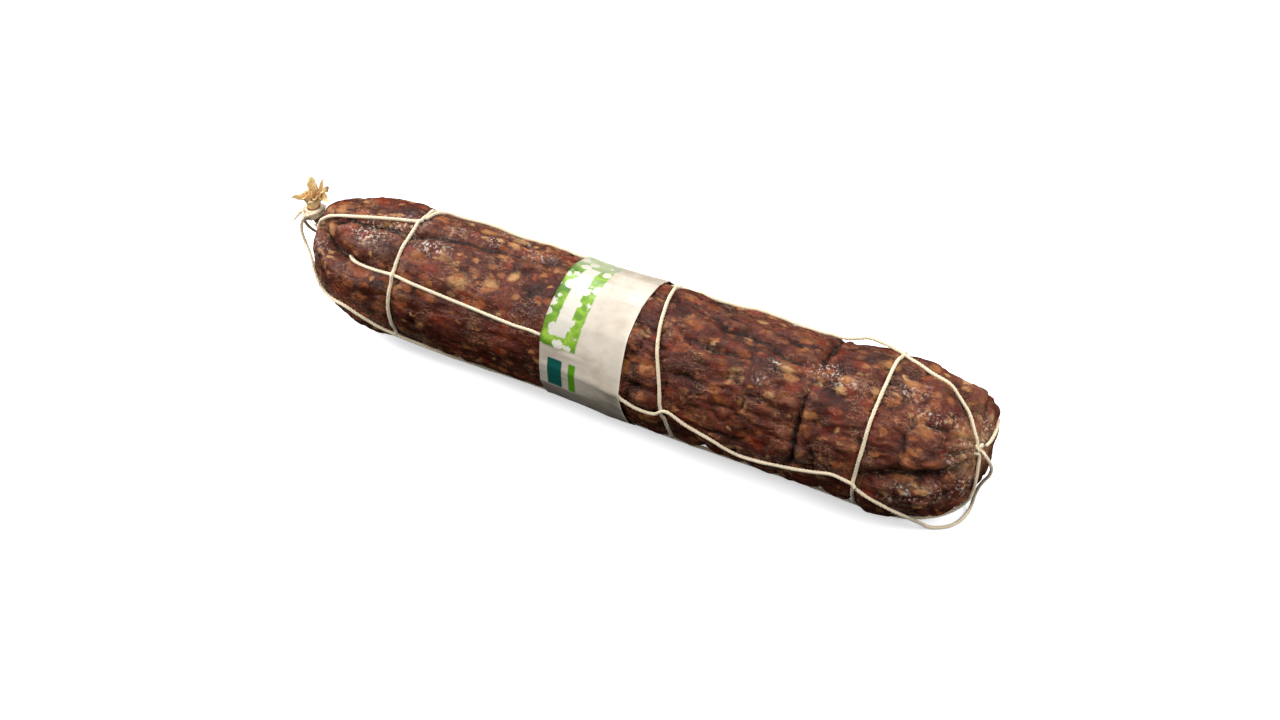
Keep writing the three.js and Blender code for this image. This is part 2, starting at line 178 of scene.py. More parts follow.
# ---- node materials ----
class Shader:
    """A material's node tree, with short ways to add and join nodes."""

    def __init__(self, name, **sockets):
        self.material = bpy.data.materials.new(name)
        self.material.use_nodes = True
        self.tree = self.material.node_tree
        self.surface = self.tree.nodes["Principled BSDF"]
        for key, value in sockets.items():
            self.surface.inputs[key.replace("_", " ")].default_value = value

    def node(self, kind, inputs=(), **settings):
        made = self.tree.nodes.new("ShaderNode" + kind)
        for key, value in settings.items():
            setattr(made, key, value)
        for key, value in dict(inputs).items():
            self.put(made.inputs[key], value)
        return made

    def put(self, socket, value):
        if isinstance(value, bpy.types.NodeSocket):
            self.tree.links.new(value, socket)
        else:
            socket.default_value = value

    def set(self, key, value):
        self.put(self.surface.inputs[key], value)

    def attribute(self, name):
        return self.node("Attribute", attribute_name=name).outputs["Fac"]

    def place(self, scale=(1, 1, 1)):
        position = self.node("TexCoord").outputs["Object"]
        return self.node("Mapping", {"Vector": position, "Scale": scale}).outputs[0]

    def noise(self, scale, detail=3.0, vector=None, roughness=0.55, distortion=0.0):
        inputs = {"Scale": scale, "Detail": detail, "Roughness": roughness, "Distortion": distortion}
        inputs["Vector"] = self.place() if vector is None else vector
        return self.node("TexNoise", inputs).outputs["Fac"]

    def math(self, operation, first, second=0.0, clamp=False):
        return self.node("Math", {0: first, 1: second}, operation=operation, use_clamp=clamp).outputs[0]

    def times(self, first, second):
        return self.math("MULTIPLY", first, second)

    def shifted(self, vector, noise_colour, distance):
        """A place moved to and fro by up to about half the distance."""
        centred = self.node("VectorMath", {0: noise_colour, 1: (0.5, 0.5, 0.5)}, operation="SUBTRACT")
        scaled = self.node("VectorMath", {0: centred.outputs[0], "Scale": distance}, operation="SCALE")
        return self.node("VectorMath", {0: vector, 1: scaled.outputs[0]}, operation="ADD").outputs[0]

    def between(self, value, low_end, high_end, to=(0.0, 1.0)):
        inputs = {"Value": value, "From Min": low_end, "From Max": high_end, "To Min": to[0], "To Max": to[1]}
        return self.node("MapRange", inputs, interpolation_type="SMOOTHSTEP").outputs[0]

    def mix(self, share, first, second):
        return self.node("Mix", {0: share, 6: first, 7: second}, data_type="RGBA").outputs[2]

    def ramp(self, value, stops):
        made = self.node("ValToRGB", {"Fac": value})
        elements = made.color_ramp.elements
        for index, (place, colour) in enumerate(stops):
            element = elements[index] if index < 2 else elements.new(place)
            element.position = place
            element.color = colour
        return made.outputs[0]

    def bump(self, height_value, distance, strength=1.0, below=None):
        inputs = {"Height": height_value, "Distance": distance, "Strength": strength}
        if below is not None:
            inputs["Normal"] = below
        return self.node("Bump", inputs).outputs[0]


def colour(red, green, blue):
    """A colour given as screen values from 0 to 255, made linear."""
    def linear(value):
        return ((value / 255 + 0.055) / 1.055) ** 2.4 if value > 10 else value / 255 / 12.92

    return linear(red), linear(green), linear(blue), 1.0


# ---- twine ----
PLIES = 3
PLY_PROFILE = (0.86, 1.06, 1.12, 1.06)  # radius across one ply, from valley to valley
LAY = 7.2  # length in which the plies turn once
TWINE_STEP = 0.72
FIBRE_REACH = (0.6, 2.6)  # shortest and longest loose fibre


def smooth_path(points, step=TWINE_STEP, closed=False):
    """Points at equal steps along a smooth curve through the given ones."""
    points = np.asarray(points, float)
    if closed:
        ends = np.concatenate([points[-1:], points, points[:2]])
    else:
        ends = np.concatenate([2 * points[:1] - points[1:2], points, 2 * points[-1:] - points[-2:-1]])
    gaps = np.sqrt(np.linalg.norm(np.diff(ends, axis=0), axis=-1))
    knot = np.concatenate([[0], np.cumsum(gaps + 1e-6)])

    def blend(t, start, end, first, last):
        return (end - t) / (end - start) * first + (t - start) / (end - start) * last

    dense = []
    for i in range(1, len(ends) - 2):  # a Catmull-Rom curve over uneven steps
        t = np.linspace(knot[i], knot[i + 1], 24, endpoint=False)[:, None]
        t0, t1, t2, t3 = knot[i - 1 : i + 3]
        a = blend(t, t0, t1, ends[i - 1], ends[i])
        b = blend(t, t1, t2, ends[i], ends[i + 1])
        c = blend(t, t2, t3, ends[i + 1], ends[i + 2])
        dense.append(blend(t, t1, t2, blend(t, t0, t2, a, b), blend(t, t1, t3, b, c)))
    dense = np.concatenate(dense + [ends[-2:-1]])
    length = np.concatenate([[0], np.cumsum(np.linalg.norm(np.diff(dense, axis=0), axis=-1))])
    count = max(8, int(round(length[-1] / step)))
    places = np.linspace(0, length[-1], count + 1)
    return np.stack([np.interp(places, length, dense[:, k]) for k in range(dense.shape[1])], axis=-1)


def path_frames(path, closed=False):
    """Two directions across the path at each point, turning as little as they can."""
    heading = np.gradient(path, axis=0)
    heading /= np.linalg.norm(heading, axis=-1, keepdims=True)
    side = np.cross(heading[0], (0.3, 0.5, 0.8))
    sides = []
    for direction in heading:
        side = side - direction * (side @ direction)
        side = side / np.linalg.norm(side)
        sides.append(side)
    sides = np.array(sides)
    others = np.cross(heading, sides)
    if closed:
        slip = math.atan2(sides[-1] @ others[0], sides[-1] @ sides[0])
        turn = -slip * np.linspace(0, 1, len(path))[:, None]
        cos, sin = np.cos(turn), np.sin(turn)
        sides, others = sides * cos + others * sin, others * cos - sides * sin
    return sides, others


def twine_tube(path, closed, seed, taper):
    """Points, faces and fibre directions of a three-ply twine along a path of equal steps."""
    path = np.asarray(path)
    length = np.linalg.norm(np.diff(path, axis=0), axis=-1).sum()
    sides, others = path_frames(path, closed)
    turns = max(1, round(length / LAY)) if closed else length / LAY
    share = np.linspace(0, 1, len(path))
    profile = np.tile(PLY_PROFILE, PLIES)
    sides_of_ply = len(profile)
    around = np.arange(sides_of_ply) * 2 * math.pi / sides_of_ply
    angle = around + 2 * math.pi * turns * share[:, None]
    thick = 1 + 0.07 * smooth_noise(path, 4.0, 50 + seed) + 0.05 * smooth_noise(path, 1.3, 60 + seed)
    thick = thick * (1 - taper * ease(share, 0.35, 1))
    across = TWINE_RADIUS * profile * thick[:, None]
    points = path[:, None] + across[..., None] * (
        np.cos(angle)[..., None] * sides[:, None] + np.sin(angle)[..., None] * others[:, None]
    )
    points[..., 2] = np.maximum(points[..., 2], LOWEST)
    stretched = 0.12 * length * share[:, None] / LAY  # so that the fibres run along the ply
    fibre = np.stack(np.broadcast_arrays(np.cos(around), np.sin(around), stretched + 0 * angle), axis=-1)
    # how far each point lies in the valley between plies, used for painted shade there
    ply_valley_shade = np.broadcast_to(np.tile([1.0, 0.25, 0.0, 0.25], PLIES), angle.shape)
    if closed:
        points, fibre, ply_valley_shade = points[:-1], fibre[:-1], ply_valley_shade[:-1]
        rows = len(points)
        faces = (grid_faces(rows + 1, sides_of_ply) % (rows * sides_of_ply)).tolist()
    else:
        faces = grid_faces(len(points), sides_of_ply).tolist()
        last = (len(points) - 1) * sides_of_ply
        faces.append([last + i for i in range(sides_of_ply)])
        faces.append([sides_of_ply - 1 - i for i in range(sides_of_ply)])
    return points.reshape(-1, 3), faces, fibre.reshape(-1, 3), ply_valley_shade.ravel()


def fuzz(path, count, seed):
    """Fine loose fibres that stand off the twine, as thin three-sided spikes."""
    draw = np.random.default_rng(100 + seed)
    points, faces = [], []
    for _ in range(count):
        i = draw.integers(1, len(path) - 1)
        heading = path[i + 1] - path[i - 1]
        heading = heading / np.linalg.norm(heading)
        out = np.cross(heading, draw.normal(size=3))
        out = out / np.linalg.norm(out)
        lean = heading * draw.uniform(-1, 1)
        long = draw.uniform(*FIBRE_REACH)
        bow = np.cross(heading, out) * draw.uniform(-0.5, 0.5) * long
        if BAND_LEFT - 1 < path[i][0] < BAND_RIGHT + 2:
            continue  # the paper band holds the fibres down
        start = path[i] + out * TWINE_RADIUS * 0.8
        middle = start + (out + lean) * long * 0.4 + bow * 0.4
        tip = start + (out * 0.8 + lean * 1.6) * long * 0.7 + bow
        across = np.cross(heading, out)
        first = len(points)
        for place, thick in ((start, 0.07), (middle, 0.05)):
            for turn in np.arange(3) * 2 * math.pi / 3:
                points.append(place + thick * (math.cos(turn) * heading + math.sin(turn) * across))
        points.append(tip)
        for k in range(3):
            n = (k + 1) % 3
            faces.append([first + k, first + n, first + 3 + n, first + 3 + k])
            faces.append([first + 3 + k, first + 3 + n, first + 6])
        faces.append([first + 2, first + 1, first])
    points = np.array(points).reshape(-1, 3)
    points[:, 2] = np.maximum(points[:, 2], 0.05)
    return points, faces


def make_twine(name, node, paths, closed=False, last_taper=0.0, hairs=0.25, seed=0):
    """One piece of twine along one or more paths of equal steps; the last may thin out to a frayed end."""
    parts = []
    for index, path in enumerate(paths):
        taper = last_taper if index == len(paths) - 1 else 0
        parts.append(twine_tube(path, closed, seed + index, taper))
        loose, loose_faces = fuzz(path, int(len(path) * TWINE_STEP * hairs), seed + index)
        parts.append((loose, loose_faces, np.ones((len(loose), 3)), np.zeros(len(loose))))
    points, faces, fibres, valleys = zip(*parts)
    starts = np.cumsum([0] + [len(part) for part in points])
    joined = [[start + i for i in face] for start, part in zip(starts.tolist(), faces) for face in part]
    valley = np.concatenate(valleys)
    piece = make_mesh(name, np.concatenate(points), joined, node, "twine", twine_look, valley=valley)
    fibre = piece.data.attributes.new("fibre", "FLOAT_VECTOR", "POINT")
    fibre.data.foreach_set("vector", np.concatenate(fibres).astype(np.float32).ravel())
    return piece


def pulled_tight(heights, spacing, curve, closed=False, rounds=60):
    """Heights of a taut line over bumps: it touches the high ones and spans the hollows between."""
    tight = heights.copy()
    for _ in range(rounds):
        for lag in (8, 4, 2, 1):
            if closed:
                middle = (np.roll(tight, lag, axis=0) + np.roll(tight, -lag, axis=0)) / 2
            else:
                first, last = (np.repeat(end, lag, axis=0) for end in (tight[:1], tight[-1:]))
                padded = np.concatenate([first, tight, last])
                middle = (padded[: -2 * lag] + padded[2 * lag :]) / 2
            tight = np.maximum(heights, middle - curve * (lag * spacing) ** 2)
    return tight


SLACK_ROUTE = [
    (156.4, -45.1, 36.2), (160, -45, 34.2), (164.6, -44.6, 32), (170.6, -43.4, 29.2), (176.6, -41.6, 26),
    (181.8, -38.6, 22), (186, -33.2, 15.8), (189.4, -27.2, 8.6), (193.2, -22.2, 2.8), (198, -18.6, 1.2),
    (203, -14.4, 1.2), (206.6, -7.6, 1.2), (208, 0.6, 1.8), (208.8, 2.6, 6.6), (209.9, 1.4, 14.2),
    (212.2, -0.8, 24), (214.9, -2, 31.4), (217.5, -3, 37.2), (218.9, -4.6, 43.6), (219, -7.6, 49.8),
    (218.2, -10, 54.8), (216.6, -11, 58.2),
]


def make_slack_loop():
    """The free cord: the front strand's slack end, from the last ring to the end knot."""
    path = smooth_path(SLACK_ROUTE)
    piece = make_twine("slack_loop", "twine_slack_loop", [path], seed=70)


def twine_material():
    """Undyed cotton: matt, with fibres that run along each ply."""
    shader = Shader("cotton_twine", Roughness=0.9, Sheen_Weight=0.5, Sheen_Roughness=0.5)
    fibre = shader.node("Attribute", attribute_name="fibre").outputs["Vector"]
    strands = shader.noise(5.5, 5, fibre, 0.7, 0.4)
    cotton = shader.ramp(strands, [
        (0.3, colour(206, 180, 144)), (0.45, colour(238, 217, 180)), (0.6, colour(250, 234, 204)),
        (0.75, colour(253, 245, 226)),
    ])
    stain = shader.between(shader.noise(38, 3), 0.5, 0.74, (0, 0.22))
    cotton = shader.mix(stain, cotton, colour(196, 170, 138))
    # painted shade: the twine is darker in the valleys between its plies
    valley = shader.times(shader.attribute("valley"), 0.24)
    shader.set("Base Color", shader.mix(valley, cotton, colour(120, 96, 74)))
    shader.set("Normal", shader.bump(strands, 0.0004, 0.6))
    return shader.material


twine_look = twine_material()
make_slack_loop()


# ---- the sausage's form ----
def girth(x):
    return np.interp(x, *zip(*GIRTH))


def fullness(x):
    left = np.clip((LEFT_X + LEFT_DOME - x) / LEFT_DOME, 0, 1)
    right = np.clip((x - RIGHT_X + RIGHT_DOME) / RIGHT_DOME, 0, 1)
    left_share = (1 - left**LEFT_BLUNTNESS) ** (1 / LEFT_BLUNTNESS)
    return left_share * (1 - right**RIGHT_BLUNTNESS) ** (1 / RIGHT_BLUNTNESS)


def centre_z(x):
    resting = girth(x) - BELLY_SINK
    end = np.where(x < 0, NECK_Z, FAT_END_Z)
    return end + (resting - end) * fullness(x)


def on_section(x, angle, radius):
    """A point of the round section at a station; the angle is in radians."""
    return np.stack([x + 0 * angle, -radius * np.sin(angle), centre_z(x) + radius * np.cos(angle)], axis=-1)


def ring_station(ring, angle):
    x, lean, lean_angle = RINGS[ring]
    return x + lean * np.cos(angle - math.radians(lean_angle))


# Folds along the sausage: (station, angle, depth) along each, then its valley's width.
FOLDS = [
    # under the top strand, from the neck to past the band
    ([(-218, 26, 1.5), (-207, 23, 4), (-193, 16.5, 5.6), (-175, 15.5, 5.6), (-163, 13.5, 5),
      (-145, 13.5, 4.4), (-127, 6, 4.4), (-112, 3, 4.6), (-93, 2, 4.6), (-82, -1.5, 4.2), (-66, -1, 4),
      (-47, -7, 2.8), (-20, -9, 1.6), (10, -10, 1.4), (30, -11, 2.8), (48, -4, 3.6), (58, 3.5, 3.6),
      (71, 3.5, 3.6), (82, 5.5, 3.6), (95, 13, 3.6), (107, 16, 2.8), (114, 17, 1.4)], 1.8),
    # a second one beside it
    ([(-126, -17, 0.2), (-112, -17.5, 1.3), (-88, -19, 1.6), (-66, -20, 1.4), (-52, -20, 0.4)], 1.2),
    # under the front strand, deepest beside the neck
    ([(-218, 34, 3), (-212, 36, 6), (-205, 43.5, 9.5), (-199, 51, 10.5), (-192, 53, 10), (-181, 53.5, 7.5),
      (-165, 55, 3), (-140, 55, 1.8), (-100, 58, 1), (-60, 60, 0.5)], 2.8),
    # behind the top strand and between the wrinkles
    ([(12, -22, 0.3), (32, -24.5, 1.6), (50, -16, 2), (66, -6.5, 1.8), (72, -4, 0.6)], 1.1),
    ([(62, -14, 0.3), (77, -10, 1.7), (90, -9, 1.9), (102, -3, 1.7), (113, 3, 1)], 1.1),
    ([(30, 20, 0.3), (37, 23.5, 1.5), (51, 26.5, 1.8), (64, 26, 1.8), (74, 26, 1.5), (84, 19.5, 0.4)], 1.1),
    ([(40, 44, 0.2), (56, 47, 1.1), (74, 45, 1.2), (92, 50, 0.3)], 1.3),
    ([(-108, 30, 0.2), (-90, 33, 0.9), (-72, 31, 0.9), (-58, 33, 0.2)], 1.5),
    # the mouth of the fat end
    ([(150, 88, 0.3), (158, 85, 2.8), (167, 78.5, 6), (179, 75, 9), (188, 73, 10), (199, 70, 9.4),
      (207, 65, 7), (212, 54, 4)], 2.1),
    # the cleft over the fat end
    ([(158, -31, 0.8), (168, -27, 3.4), (178, -23, 7), (188, -19, 10), (195, -14, 11.5), (201, -8, 11.5),
      (207, 1, 11), (211, 11, 8), (213.5, 20, 3)], 2.7),
    # shorter folds that meet at the fat end
    ([(180, 34, 0.3), (193, 31, 1.6), (204, 30, 2.4), (210.5, 30, 1.6)], 1.2),
    ([(176, 118, 0.3), (190, 112, 2), (203, 98, 2.6), (211, 74, 1.8)], 1.5),
    ([(186, 52, 0.3), (198, 50, 1.6), (207, 46, 2.2), (211.5, 40, 1.4)], 1.1),
    ([(172, -52, 0.3), (187, -46, 3), (200, -38, 4), (210, -10, 2.6)], 1.7),
    ([(168, -96, 0.4), (184, -90, 4), (200, -84, 5.4), (211, -50, 3)], 2.1),
    ([(170, 160, 0.3), (188, 162, 2.6), (203, 165, 3.4), (211, 170, 2)], 1.8),
    # low on the front, the belly and the far side
    ([(-214, 120, 1.5), (-205, 128, 3), (-190, 134, 3.2), (-150, 137, 2.2), (-90, 140, 1.4),
      (-30, 140, 0.6)], 2),
    ([(20, 142, 0.4), (60, 146, 1.6), (110, 144, 2.2), (150, 141, 1.6), (168, 139, 0.5)], 1.8),
    ([(-215, -60, 2), (-204, -66, 4), (-190, -64, 4.4), (-150, -62, 2.6), (-96, -68, 1.8), (-50, -66, 1)], 2),
    ([(-214, -125, 2), (-200, -118, 4.6), (-184, -112, 4), (-140, -112, 2.6), (-80, -106, 2.2),
      (-10, -104, 1)], 2.2),
    ([(20, -98, 0.6), (60, -102, 2.6), (100, -96, 2.8), (140, -94, 1.4), (160, -95, 0.4)], 2),
    ([(30, -60, 0.4), (58, -64, 1.8), (90, -58, 2.2), (112, -60, 0.8)], 1.5),
    ([(-216, 170, 1.5), (-200, 176, 3), (-184, 178, 1.5)], 2),
]

# The crease that an earlier turn of twine has left round the sausage.
WAIST_X, WAIST_DEPTH = 116.0, 4.4
PUCKER_X, PUCKER_ANGLE = 211.5, math.radians(30)
LOBE_X, LOBE_ANGLE = 203.0, math.radians(-36)  # the far lobe of the fat end stands proud of the cleft


def valley(across, depth, width):
    """A crease with a sharp bottom, full shoulders and a pillow on both sides; all lengths in mm."""
    away = np.abs(across) / width
    crease = 0.62 * np.exp(-(away**1.25)) + 0.38 * np.exp(-((away / 3.1) ** 2))
    shoulder = 0.2 * np.exp(-(((away - 3.6) / 2.2) ** 2))
    return depth * (shoulder - crease)


def folds_at(x, angle, radius, base):
    wander = 1.1 * smooth_noise(base, 11, 21) + 0.5 * smooth_noise(base, 5, 22)
    fade = ease(radius, 3, 17)
    height = np.zeros_like(x)
    for route, width in FOLDS:
        stations, angles, depths = (np.array(column, float) for column in zip(*route))
        reach = (x > stations[0] - 6) & (x < stations[-1] + 3)
        if not reach.any():
            continue
        route_angle = np.radians(np.interp(x, stations, angles))
        depth = np.interp(x, stations, depths) * ease(x, stations[0] - 6, stations[0] + 4)
        depth = depth * (1 - ease(x, stations[-1], stations[-1] + 3))
        across = wrapped(angle - route_angle) * radius + wander
        height += np.where(reach, valley(across, depth * fade, width), 0)
    return height


def around_things(x, angle, radius, base):
    """Where twine has pressed into the skin."""
    facing = 0.35 + 0.65 * ease(np.cos(angle - math.radians(40)), -0.7, 0.5)
    facing = facing * (1 - 0.75 * ease(angle, math.radians(75), math.radians(120)) * (angle < math.pi))
    waist_x = WAIST_X + 1.6 * np.sin(angle * 2 + 0.6) + 2.2 * smooth_noise(base, 14, 31)
    depth = WAIST_DEPTH * (0.75 + 0.7 * smooth_noise(base, 13, 32))
    height = facing * valley(x - waist_x, np.maximum(depth, 0.6), 1.5 + 0.5 * smooth_noise(base, 11, 33))
    for ring in RINGS:
        off = x - ring_station(ring, angle)
        height += -0.9 * np.exp(-((off / 2.2) ** 2)) - 0.5 * np.exp(-((off / 7) ** 2))
        height += 0.35 * np.exp(-(((np.abs(off) - 7.5) / 4) ** 2))
    return height * ease(radius, 8, 25)


def pleats(angle, base):
    """The casing is gathered at the neck and puckered at the fat end, and swells in its far lobe."""
    from_neck = np.linalg.norm(base - np.array([LEFT_X, 0, NECK_Z]), axis=-1)
    turn = angle * 11 + 1.5 * smooth_noise(base, 14, 41)
    gathered = -0.9 * (1 - np.abs(np.sin(turn / 2))) * np.exp(-(from_neck / 17)) * ease(from_neck, 2, 9)
    pucker = on_section(np.array(PUCKER_X), np.array(PUCKER_ANGLE), girth(PUCKER_X) * fullness(PUCKER_X))
    off = base - pucker
    distance = np.linalg.norm(off, axis=-1)
    around = np.arctan2(off[..., 1], off[..., 2]) * 9 + 2.4 * smooth_noise(base, 10, 42)
    rays = -1.1 * (1 - np.abs(np.sin(around / 2))) ** 1.5 * np.exp(-distance / 13) * ease(distance, 0.5, 5)
    hollow = -2.2 * np.exp(-((distance / 5.5) ** 2))
    lobe = on_section(np.array(LOBE_X), np.array(LOBE_ANGLE), girth(LOBE_X) * fullness(LOBE_X))
    swollen = 5.0 * np.exp(-((np.linalg.norm(base - lobe, axis=-1) / 11) ** 2))
    return gathered + rays + hollow + swollen


def relief(x, angle, radius, base):
    """Height of the skin above the round form, in mm."""
    full = ease(radius, 4, 22)
    shrivelled = 0.62 + 0.38 * ease(x, -40, 50) + 0.25 * smooth_noise(base, 26, 8)
    lengthwise = base * np.array([0.45, 1, 1])
    lobes = 1.3 * smooth_noise(base * np.array([0.5, 1, 1]), 30, 1) + 0.7 * smooth_noise(lengthwise, 15, 2)
    bent = base + 2.4 * noise_vector(base, 9, 3)
    drawn_out = bent * np.array([0.6, 1, 1])
    puffed = 3.6 * np.abs(smooth_noise(drawn_out, 14, 17)) ** 0.8
    puffed += 1.5 * np.abs(smooth_noise(drawn_out, 7.4, 12)) ** 0.8 - 1.5
    nearest, second = cells(drawn_out, 6.2, 6)
    lumps = 0.42 * (0.45 - nearest**2) - 0.12 * np.exp(-(((second - nearest) / 0.13) ** 2))
    wrinkles = -1.3 * (1 - np.abs(smooth_noise(bent * np.array([0.2, 1, 1]), 4.6, 9))) ** 6
    crinkles = 0.12 * smooth_noise(drawn_out, 1.9, 10)
    height = full * (lobes + shrivelled * (puffed + wrinkles) + lumps + crinkles)
    height += folds_at(x, angle, radius, base) + around_things(x, angle, radius, base)
    return height + pleats(angle, base)


def belly_floor(x, angle):
    """How high the belly must stay: it is pressed up by the rings and the band under it."""
    floor = np.zeros_like(x)
    for ring in RINGS:
        floor = np.maximum(floor, 1.75 * np.exp(-(((x - ring_station(ring, angle)) / 2.2) ** 4)))
    under_band = ease(x, BAND_LEFT - 2, BAND_LEFT) * (1 - ease(x, BAND_RIGHT, BAND_RIGHT + 2))
    return np.maximum(floor, 0.75 * under_band)


# ---- the skin as a grid of rows from the neck to the fat end ----
AROUND = 236
ROW_STEP = 1.16
NECK_ROWS = 10
FLARE_ROWS = 12


def dome_stations():
    """Stations between the domes' small ends, evenly spaced along the skin."""
    turn = np.linspace(0.06, math.pi / 2, 200)
    left = LEFT_X + LEFT_DOME * (1 - np.cos(turn) ** (2 / LEFT_BLUNTNESS))
    right = RIGHT_X - RIGHT_DOME * (1 - np.cos(turn) ** (2 / RIGHT_BLUNTNESS))
    dense = np.unique(np.concatenate([left, np.linspace(left[-1], right[-1], 400), right]))
    radius = girth(dense) * fullness(dense)
    step = np.hypot(np.diff(dense), np.diff(radius))
    length = np.concatenate([[0], np.cumsum(step)])
    count = int(length[-1] / ROW_STEP)
    stations = np.interp(np.linspace(0, length[-1], count), length, dense)
    wide_enough = girth(stations) * fullness(stations) > NECK_RADIUS * 3
    return stations[wide_enough | (stations > 0)]  # the neck flares out from the first of them


angles = np.arange(AROUND) * 2 * math.pi / AROUND

# The neck leaves the skin's closed end up and outwards, and bends upright through the binding.
NECK_STEP = 0.25
neck_along = np.arange(0, 34, NECK_STEP)
neck_tilt = np.radians(42 + 40 * ease(neck_along, 3, 14) + 18 * ease(neck_along, 13, 20))
neck_root = np.array([LEFT_X + 2, 0, NECK_Z])
neck_x = neck_root[0] - np.cumsum(np.cos(neck_tilt)) * NECK_STEP
neck_y = 2.5 * ease(neck_along, 9, 20)
neck_z = neck_root[2] + np.cumsum(np.sin(neck_tilt)) * NECK_STEP


def around_neck(along, radius, angle):
    """Points around the neck's middle line; the angle is 0 on the side of the sausage."""
    along, radius, angle = np.broadcast_arrays(*(np.asarray(v, float) for v in (along, radius, angle)))
    tilt = np.interp(along, neck_along, neck_tilt)
    middle = np.stack([np.interp(along, neck_along, line) for line in (neck_x, neck_y, neck_z)], axis=-1)
    across = np.stack([np.sin(tilt), 0 * tilt, np.cos(tilt)], axis=-1)
    side = np.array([0.0, -1, 0])
    return middle + radius[..., None] * (np.cos(angle)[..., None] * across + np.sin(angle)[..., None] * side)


def skin_normals(points):
    around = np.roll(points, -1, axis=1) - np.roll(points, 1, axis=1)
    along = np.gradient(points, axis=0)
    normal = np.cross(around, along)
    return normal / np.maximum(np.linalg.norm(normal, axis=-1, keepdims=True), 1e-9)


def skin_grid():
    """The skin's stations, points, outward directions and relief, all but the neck itself."""
    stations = dome_stations()
    x, angle = np.meshgrid(stations, angles, indexing="ij")
    radius = girth(x) * fullness(x)
    base = on_section(x, angle, radius)
    outward = skin_normals(base)
    height = relief(x, angle, radius, base)
    points = base + outward * height[..., None]
    under = belly_floor(x, angle)
    above = points[..., 2] - under
    rounding = 0.55  # the skin bends into the flat belly rather than breaking
    pressed = 0.5 * (above + np.sqrt(above**2 + rounding**2))
    points[..., 2] = under + np.where(above > 3, above, pressed)
    points[..., 2] = np.maximum(points[..., 2], LOWEST)
    return stations, points, outward, height


stations, skin, outward, height = skin_grid()


def neck_rows():
    """Rows from the closed tip of the neck down to the first row of the skin."""
    gathers = 0.35 * np.sin(angles * 9) + 0.2 * np.sin(angles * 14 + 1)
    rows = [around_neck(NECK_LENGTH, 0.4, angles)]
    for along in np.linspace(NECK_LENGTH, 3, NECK_ROWS):
        rows.append(around_neck(along, NECK_RADIUS - 0.3 + gathers * (0.6 + 0.4 * math.sin(along)), angles))
    start, end = rows[-1], skin[0]
    out_of_neck = (rows[-1] - rows[-2]) * 6
    into_skin = (skin[1] - skin[0]) / np.linalg.norm(skin[1] - skin[0], axis=-1, keepdims=True) * 12
    for share in np.linspace(0, 1, FLARE_ROWS + 2)[1:-1]:
        square, cube = share**2, share**3
        rows.append(
            (2 * cube - 3 * square + 1) * start
            + (cube - 2 * square + share) * out_of_neck
            + (3 * square - 2 * cube) * end
            + (cube - square) * into_skin
        )
    return np.array(rows)


def at_skin(x, angle):
    """Point, outward direction and relief of the finished skin at stations and angles in radians."""
    row = np.clip(np.interp(x, stations, np.arange(len(stations))), 0, len(stations) - 1.001)
    column = np.mod(angle, 2 * math.pi) / (2 * math.pi) * AROUND
    row_before, column_before = np.floor(row).astype(int), np.floor(column).astype(int) % AROUND
    row_share, column_share = row - row_before, column - np.floor(column)

    def read(grid):
        if grid.ndim == 2:
            grid = grid[..., None]
        after = (column_before + 1) % AROUND
        a, b = row_share[:, None], column_share[:, None]
        first = grid[row_before, column_before] * (1 - b) + grid[row_before, after] * b
        last = grid[row_before + 1, column_before] * (1 - b) + grid[row_before + 1, after] * b
        return first * (1 - a) + last * a

    normal = read(outward)
    normal /= np.linalg.norm(normal, axis=-1, keepdims=True)
    return read(skin), normal, read(height)[:, 0]


# ---- what shows through the skin ----
MOULD_PLACES = [  # station, angle, size and strength of patches of bloom
    (-178, 20, 9, 1), (-172, 28, 7, 0.8), (-165, 25, 6, 0.8), (-160, 5, 9, 0.9), (-150, -4, 7, 0.7),
    (-131, 20, 8, 0.9), (-122, -6, 6, 0.8), (-100, -8, 6, 0.7), (-70, -9, 8, 0.7), (-88, -30, 9, 0.5),
    (93, 22, 4, 0.8), (88, 38, 3, 1), (121, 14, 8, 0.9), (134, 20, 7, 0.7), (171, 10, 8, 0.6),
    (186, 25, 7, 0.7), (186, 88, 9, 0.8), (197, 92, 8, 0.9), (203, 60, 7, 0.8), (208, 40, 8, 0.9),
    (209, 95, 9, 0.9), (200, 20, 6, 0.6), (211, 10, 8, 0.9), (212, -20, 8, 0.8), (176, 96, 6, 0.6),
    (-208, 60, 8, 0.4), (-60, -60, 14, 0.7), (40, -70, 16, 0.7), (100, -50, 12, 0.6),
    (-150, -70, 14, 0.7), (-120, -120, 16, 0.6), (60, -130, 16, 0.6), (140, -110, 14, 0.7),
    (190, -60, 12, 0.8), (-20, -90, 10, 0.5), (-190, -50, 10, 0.7), (-180, 110, 9, 0.5),
]


def bloom(points):
    """How much white bloom there is at each point."""
    total = np.zeros(points.shape[:-1])
    for station, angle, size, strength in MOULD_PLACES:
        centre = at_skin(np.array([float(station)]), np.array([math.radians(angle)]))[0][0]
        off = (points - centre) * np.array([0.6, 1, 1])
        total = np.maximum(total, strength * np.exp(-np.sum(off**2, axis=-1) / (size * 0.75) ** 2))
    return total


def blurred(grid, passes):
    for _ in range(passes):
        grid = (grid + np.roll(grid, 1, axis=1) + np.roll(grid, -1, axis=1)) / 3
        grid = np.concatenate([grid[:1], (grid[:-2] + grid[1:-1] + grid[2:]) / 3, grid[-1:]])
    return grid


